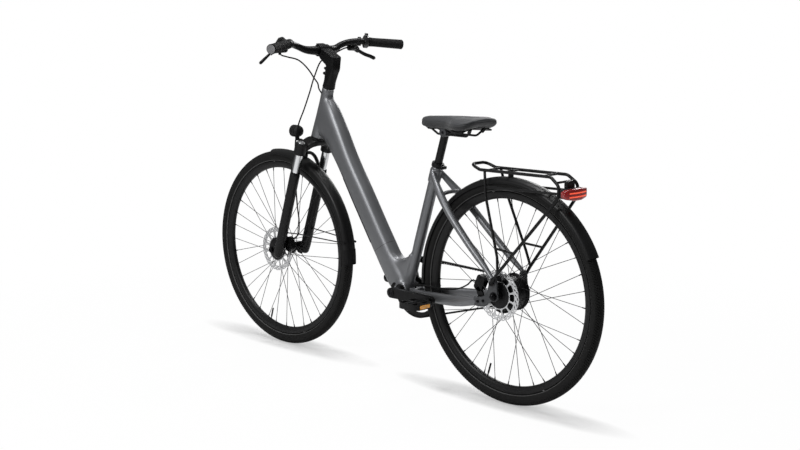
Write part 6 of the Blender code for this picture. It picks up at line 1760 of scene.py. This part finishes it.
part("front_lamp_shell", lamp, PLASTIC, "headlight", "headlight_housing", slot="black_paint")


BOWL_METAL = hazed("lamp_bowl_metal", (200.0,), 0.1, 0.08, Base_Color=(0.86, 0.87, 0.88), Metallic=1.0)
bowl = [
    turned([(17.8, 12), (18.2, 12.4), (17, 10), (14, 5), (9, 2), (3, 1.2), (2.2, 0.8)], LAMP_CENTRE, AHEAD, 64)]
part("front_lamp_bowl", bowl, BOWL_METAL, "headlight", slot="steel")


CLEAR_PLASTIC = hazed(
    "clear_lens_plastic", (300.0,), 0.05, 0.03, Base_Color=(0.93, 0.95, 0.97), Transmission_Weight=0.85,
    IOR=1.49)
r = np.linspace(0.0184, 0.0006, 60)
rise = 0.016 + 0.003 * (1 - (r / 0.0184) ** 2) + 0.0003 * np.cos(math.tau * r / 0.0022)
lens_profile = [(0.001, 0.0142), (0.0184, 0.0142)] + list(zip(r, rise))
part(
    "front_lamp_lens", [lathe(lens_profile, LAMP_CENTRE, AHEAD, 96)], CLEAR_PLASTIC, "headlight",
    "headlight_lens", slot="clear_lens", crease=50.0)


# Seat post: drawn aluminium tube, satin black, with a forged head across it. Two outer discs and a bolt
# clamp the saddle rails to the head.

POST_HEAD = seat(0.5675, -0.0115)
post = [
    turned([(11.2, 200), (13, 200.4), (13, 556), (12.8, 560), (11.2, 560.2)], BRACKET, SEAT_UP, 72),
    tube(smooth_line([seat(0.548), seat(0.556, -0.002), POST_HEAD], 16), 0.0122, sides=48, reference=(0, 1, 0)),
    turned([(12.8, -15.5), (14, -14.7), (14, 14.7), (12.8, 15.5)], POST_HEAD, SIDE, 72)]
part("seat_post_tube", post, SATIN_BLACK, "post", "seat_post", crease=35.0)
discs, clamp_bolts = [bar(POST_HEAD - 0.026 * SIDE, POST_HEAD + 0.026 * SIDE, 0.003, 24)], []
for side in (1, -1):
    discs.append(turned(
        [(3, 15.8), (13.8, 15.8), (14.7, 16.5), (14.7, 27.6), (13.8, 29), (9.5, 29.3), (9, 28.6), (6, 28.6)],
        POST_HEAD, side * SIDE, 64))
    clamp_bolts.append(bolt(POST_HEAD + side * 0.0284 * SIDE, side * SIDE, 5, 1.4))
part("saddle_clamp_discs", discs, FORGED_GREY, "saddle", "saddle_clamp", slot="black_alloy", crease=30.0)
part("saddle_clamp_bolts", clamp_bolts, DARK_BOLT, "saddle")


# Saddle shell and rails: a moulded nylon shell under the pad, and two steel rails that are sprung into
# sockets at its nose and tail. The rails are painted black.

# distance ahead of the post head, half width, height of the top, depth, droop of the sides
SADDLE = mm(
    (108, 11, 33, 14, 1), (105, 17.5, 39, 26.5, 3.5), (93, 22.5, 43, 32.5, 6), (70, 26.5, 45.5, 34.5, 8),
    (40, 30.5, 47.5, 33, 11), (10, 36.5, 49, 31, 14), (-20, 45.5, 50, 30, 16.5), (-50, 62, 50.5, 29, 20),
    (-75, 78, 50.5, 27, 21), (-100, 87, 51, 28, 20), (-120, 86, 51.5, 29, 17), (-138, 77, 51, 26, 10),
    (-148, 62, 50.5, 19, 5), (-154, 42, 48, 10, 1))


def saddle_table(rows, count):
    """The stations run smoothly: ahead and half width set the spacing, as on the plan of the saddle."""
    table = np.c_[rows[:, 0], rows[:, 1], 0 * rows[:, 0], rows[:, 2:]]
    return smooth_line(table, count)[:, (0, 1, 3, 4, 5)]


def shell_section(row):
    """Two curved lines across the saddle, the lower one 5.2 mm under the upper, closed at both edges."""
    ahead, half, top_height, depth, droop = row
    across = np.linspace(-1, 1, 25)
    reach = max(0.55 * half, half - 0.015)
    side = across * reach
    under = top_height - depth - droop * (side / half) ** 2
    upper = np.stack((0 * side + ahead, side, under + 0.0012), -1)
    lower = np.stack((0 * side + ahead, side * 0.985, under - 0.004), -1)
    return POST_HEAD + np.vstack((upper, lower[::-1]))


def rail_line(side):
    points = mm((82, 10, 12.5), (60, 13, 7.5), (26, 21.5, -6), (-98, 22.5, -6.5), (-120, 33.5, 15))
    return bent(POST_HEAD + points * (1, side, 1), 0.018)


shell = [shape([shell_section(row) for row in saddle_table(SADDLE[3:-3], 60)])]
part("saddle_shell", shell, PLASTIC, "saddle", "saddle_base", crease=40.0, ease=(0.001, 2, 50.0))
rails = [tube(rail_line(side), 0.0035, sides=20) for side in (1, -1)]
for side in (1, -1):
    for size, *ends in ((0.006, (-113, 30, 6), (-121.5, 34.3, 17.2)), (0.0056, (74, 11, 10), (86, 9.2, 16))):
        rails.append(tube(POST_HEAD + mm(*ends) * (1, side, 1), size, size, 20, (0, 1, 0)))
part("saddle_rails", rails, SATIN_BLACK, "saddle")


# Saddle pad: foam under a grey synthetic cover, wide at the back. A sewn line parts the top from the side
# panels, a shallow channel runs down the middle, and the cover is pulled in under its lower edge.

def saddle_cover():
    """Synthetic leather: pebble grain, matt side panels below the seam that is stored in the piece's own
    seam attribute."""
    paint = Paint("grey_saddle_cover")
    pebble = paint.node("TexVoronoi", {"feature": "SMOOTH_F1"}, {"Scale": 620.0, "Smoothness": 0.6})
    fine = paint.noise(1500.0, 3.0)
    cloud = paint.noise(16.0, 3.0)
    panel = paint.node("Attribute", {"attribute_name": "side_panel"}, out=2)
    stitch = paint.node("Attribute", {"attribute_name": "stitch"}, out=2)
    leather = paint.blend(cloud, (0.026, 0.027, 0.03), (0.044, 0.046, 0.05))
    matt = paint.blend(cloud, (0.016, 0.0165, 0.018), (0.026, 0.027, 0.029))
    colour = paint.blend(panel, leather, matt)
    return paint.wear(
        Base_Color=paint.blend(stitch, colour, (0.07, 0.073, 0.078)),
        Roughness=0.5 + 0.12 * fine + 0.12 * panel, Specular_IOR_Level=0.4,
        Normal=paint.bump(0.7 * pebble + 0.3 * fine, 0.00018), Sheen_Weight=0.15)


def pad_section(row):
    """Closed section of the pad: a flattened superellipse whose sides droop with the square of the
    distance across, by a tenth on top and in full underneath, and are drawn in below the widest line."""
    ahead, half, top_height, depth, droop = row
    count, shrink = 72, 0.0012
    angle = math.tau * (np.arange(count) + 0.5) / count
    c, s = np.cos(angle), np.sin(angle)
    across = np.sign(c) * np.abs(c) ** 0.6
    rise = np.sign(s) * np.abs(s) ** 0.74
    tuck = np.where(s < 0, 1 - 0.1 * np.abs(s) ** 1.5, 1.0)
    side = across * (half - shrink) * tuck
    height = top_height - depth / 2 + rise * (depth / 2 - shrink) - droop * (0.55 - 0.45 * rise) * across ** 2
    return POST_HEAD + np.stack((0 * side + ahead, side, height), -1)


pad_rows = saddle_table(SADDLE, 110)
pad = piece("saddle_pad_cushion", [shape([pad_section(row) for row in pad_rows])], saddle_cover(), 70.0)
remesh = pad.modifiers.new("even_mesh", "REMESH")
remesh.mode, remesh.voxel_size = "VOXEL", 0.004
settled(pad, pad.data.materials[0])
rest = spots(pad.data)
cloth = pad.modifiers.new("puff", "CLOTH")
cloth.settings.use_pressure = True
cloth.settings.uniform_pressure_force = 4.0
cloth.settings.effector_weights.gravity = 0.0
cloth.settings.tension_stiffness = cloth.settings.compression_stiffness = 25.0
cloth.point_cache.frame_start, cloth.point_cache.frame_end = 1, 20
for step in range(1, 21):
    bpy.context.scene.frame_set(step)
    bpy.context.view_layer.update()
settled(pad, pad.data.materials[0])
bpy.context.scene.frame_set(1)
shift = spots(pad.data) - rest
reach = np.linalg.norm(shift, axis=1)[:, None]
puffed = rest + shift * np.minimum(1.0, 0.0035 / np.maximum(reach, 1e-9))
pad.data.vertices.foreach_set("co", puffed.ravel())
once = pad.modifiers.new("smooth_cover", "SUBSURF")
once.levels = once.render_levels = 1
settled(pad, pad.data.materials[0])


def sew(made):
    """Draws the seams into the cover. On each station the seam lies a set share of the depth below the
    crown; points near it sink by a bell curve, and every 4 mm a stitch is marked. The middle channel
    sinks the crown by a bell curve of the distance from the centre plane."""
    points = spots(made.data)
    local = points - POST_HEAD
    ahead = local[:, 0]
    order = np.argsort(pad_rows[:, 0])
    table = pad_rows[order]
    half, crest, depth, droop = (np.interp(ahead, table[:, 0], table[:, k]) for k in (1, 2, 3, 4))
    across = np.clip(np.abs(local[:, 1]) / half, 0, 1)
    below = crest - 0.3 * droop * across ** 2 - local[:, 2]
    edge = 0.36 * depth + 0.0015
    gap = below - edge
    sink = 0.0009 * np.exp(-(gap / 0.0011) ** 2)
    channel = 0.0022 * np.exp(-(local[:, 1] / 0.0085) ** 2) * soft_band(ahead, -0.12, 0.05, 0.06, 0.05)
    channel *= local[:, 2] > crest - 0.45 * depth
    points -= spots(made.data, "normal") * (sink + channel)[:, None]
    made.data.vertices.foreach_set("co", points.ravel())
    run = np.cumsum(np.r_[0.0, np.hypot(np.diff(table[:, 0]), np.diff(table[:, 1]))])
    along = np.interp(ahead, table[:, 0], run)
    stitch = np.exp(-((gap - 0.0024) / 0.0006) ** 2) * (np.abs((along / 0.004) % 1 - 0.5) < 0.32)
    for name, value in (("side_panel", soft_step(gap, 0.0, 0.0012)), ("stitch", 0.8 * stitch)):
        layer = made.data.attributes.new(name, "FLOAT", "POINT")
        layer.data.foreach_set("value", value.astype(np.float32))
    made.data.update()


finer = pad.modifiers.new("finer", "SUBSURF")
finer.subdivision_type, finer.levels, finer.render_levels = "SIMPLE", 1, 1
settled(pad, pad.data.materials[0])
sew(pad)
pad.data.shade_smooth()
fixed(pad, "saddle", "saddle_pad", slot="saddle_cover")
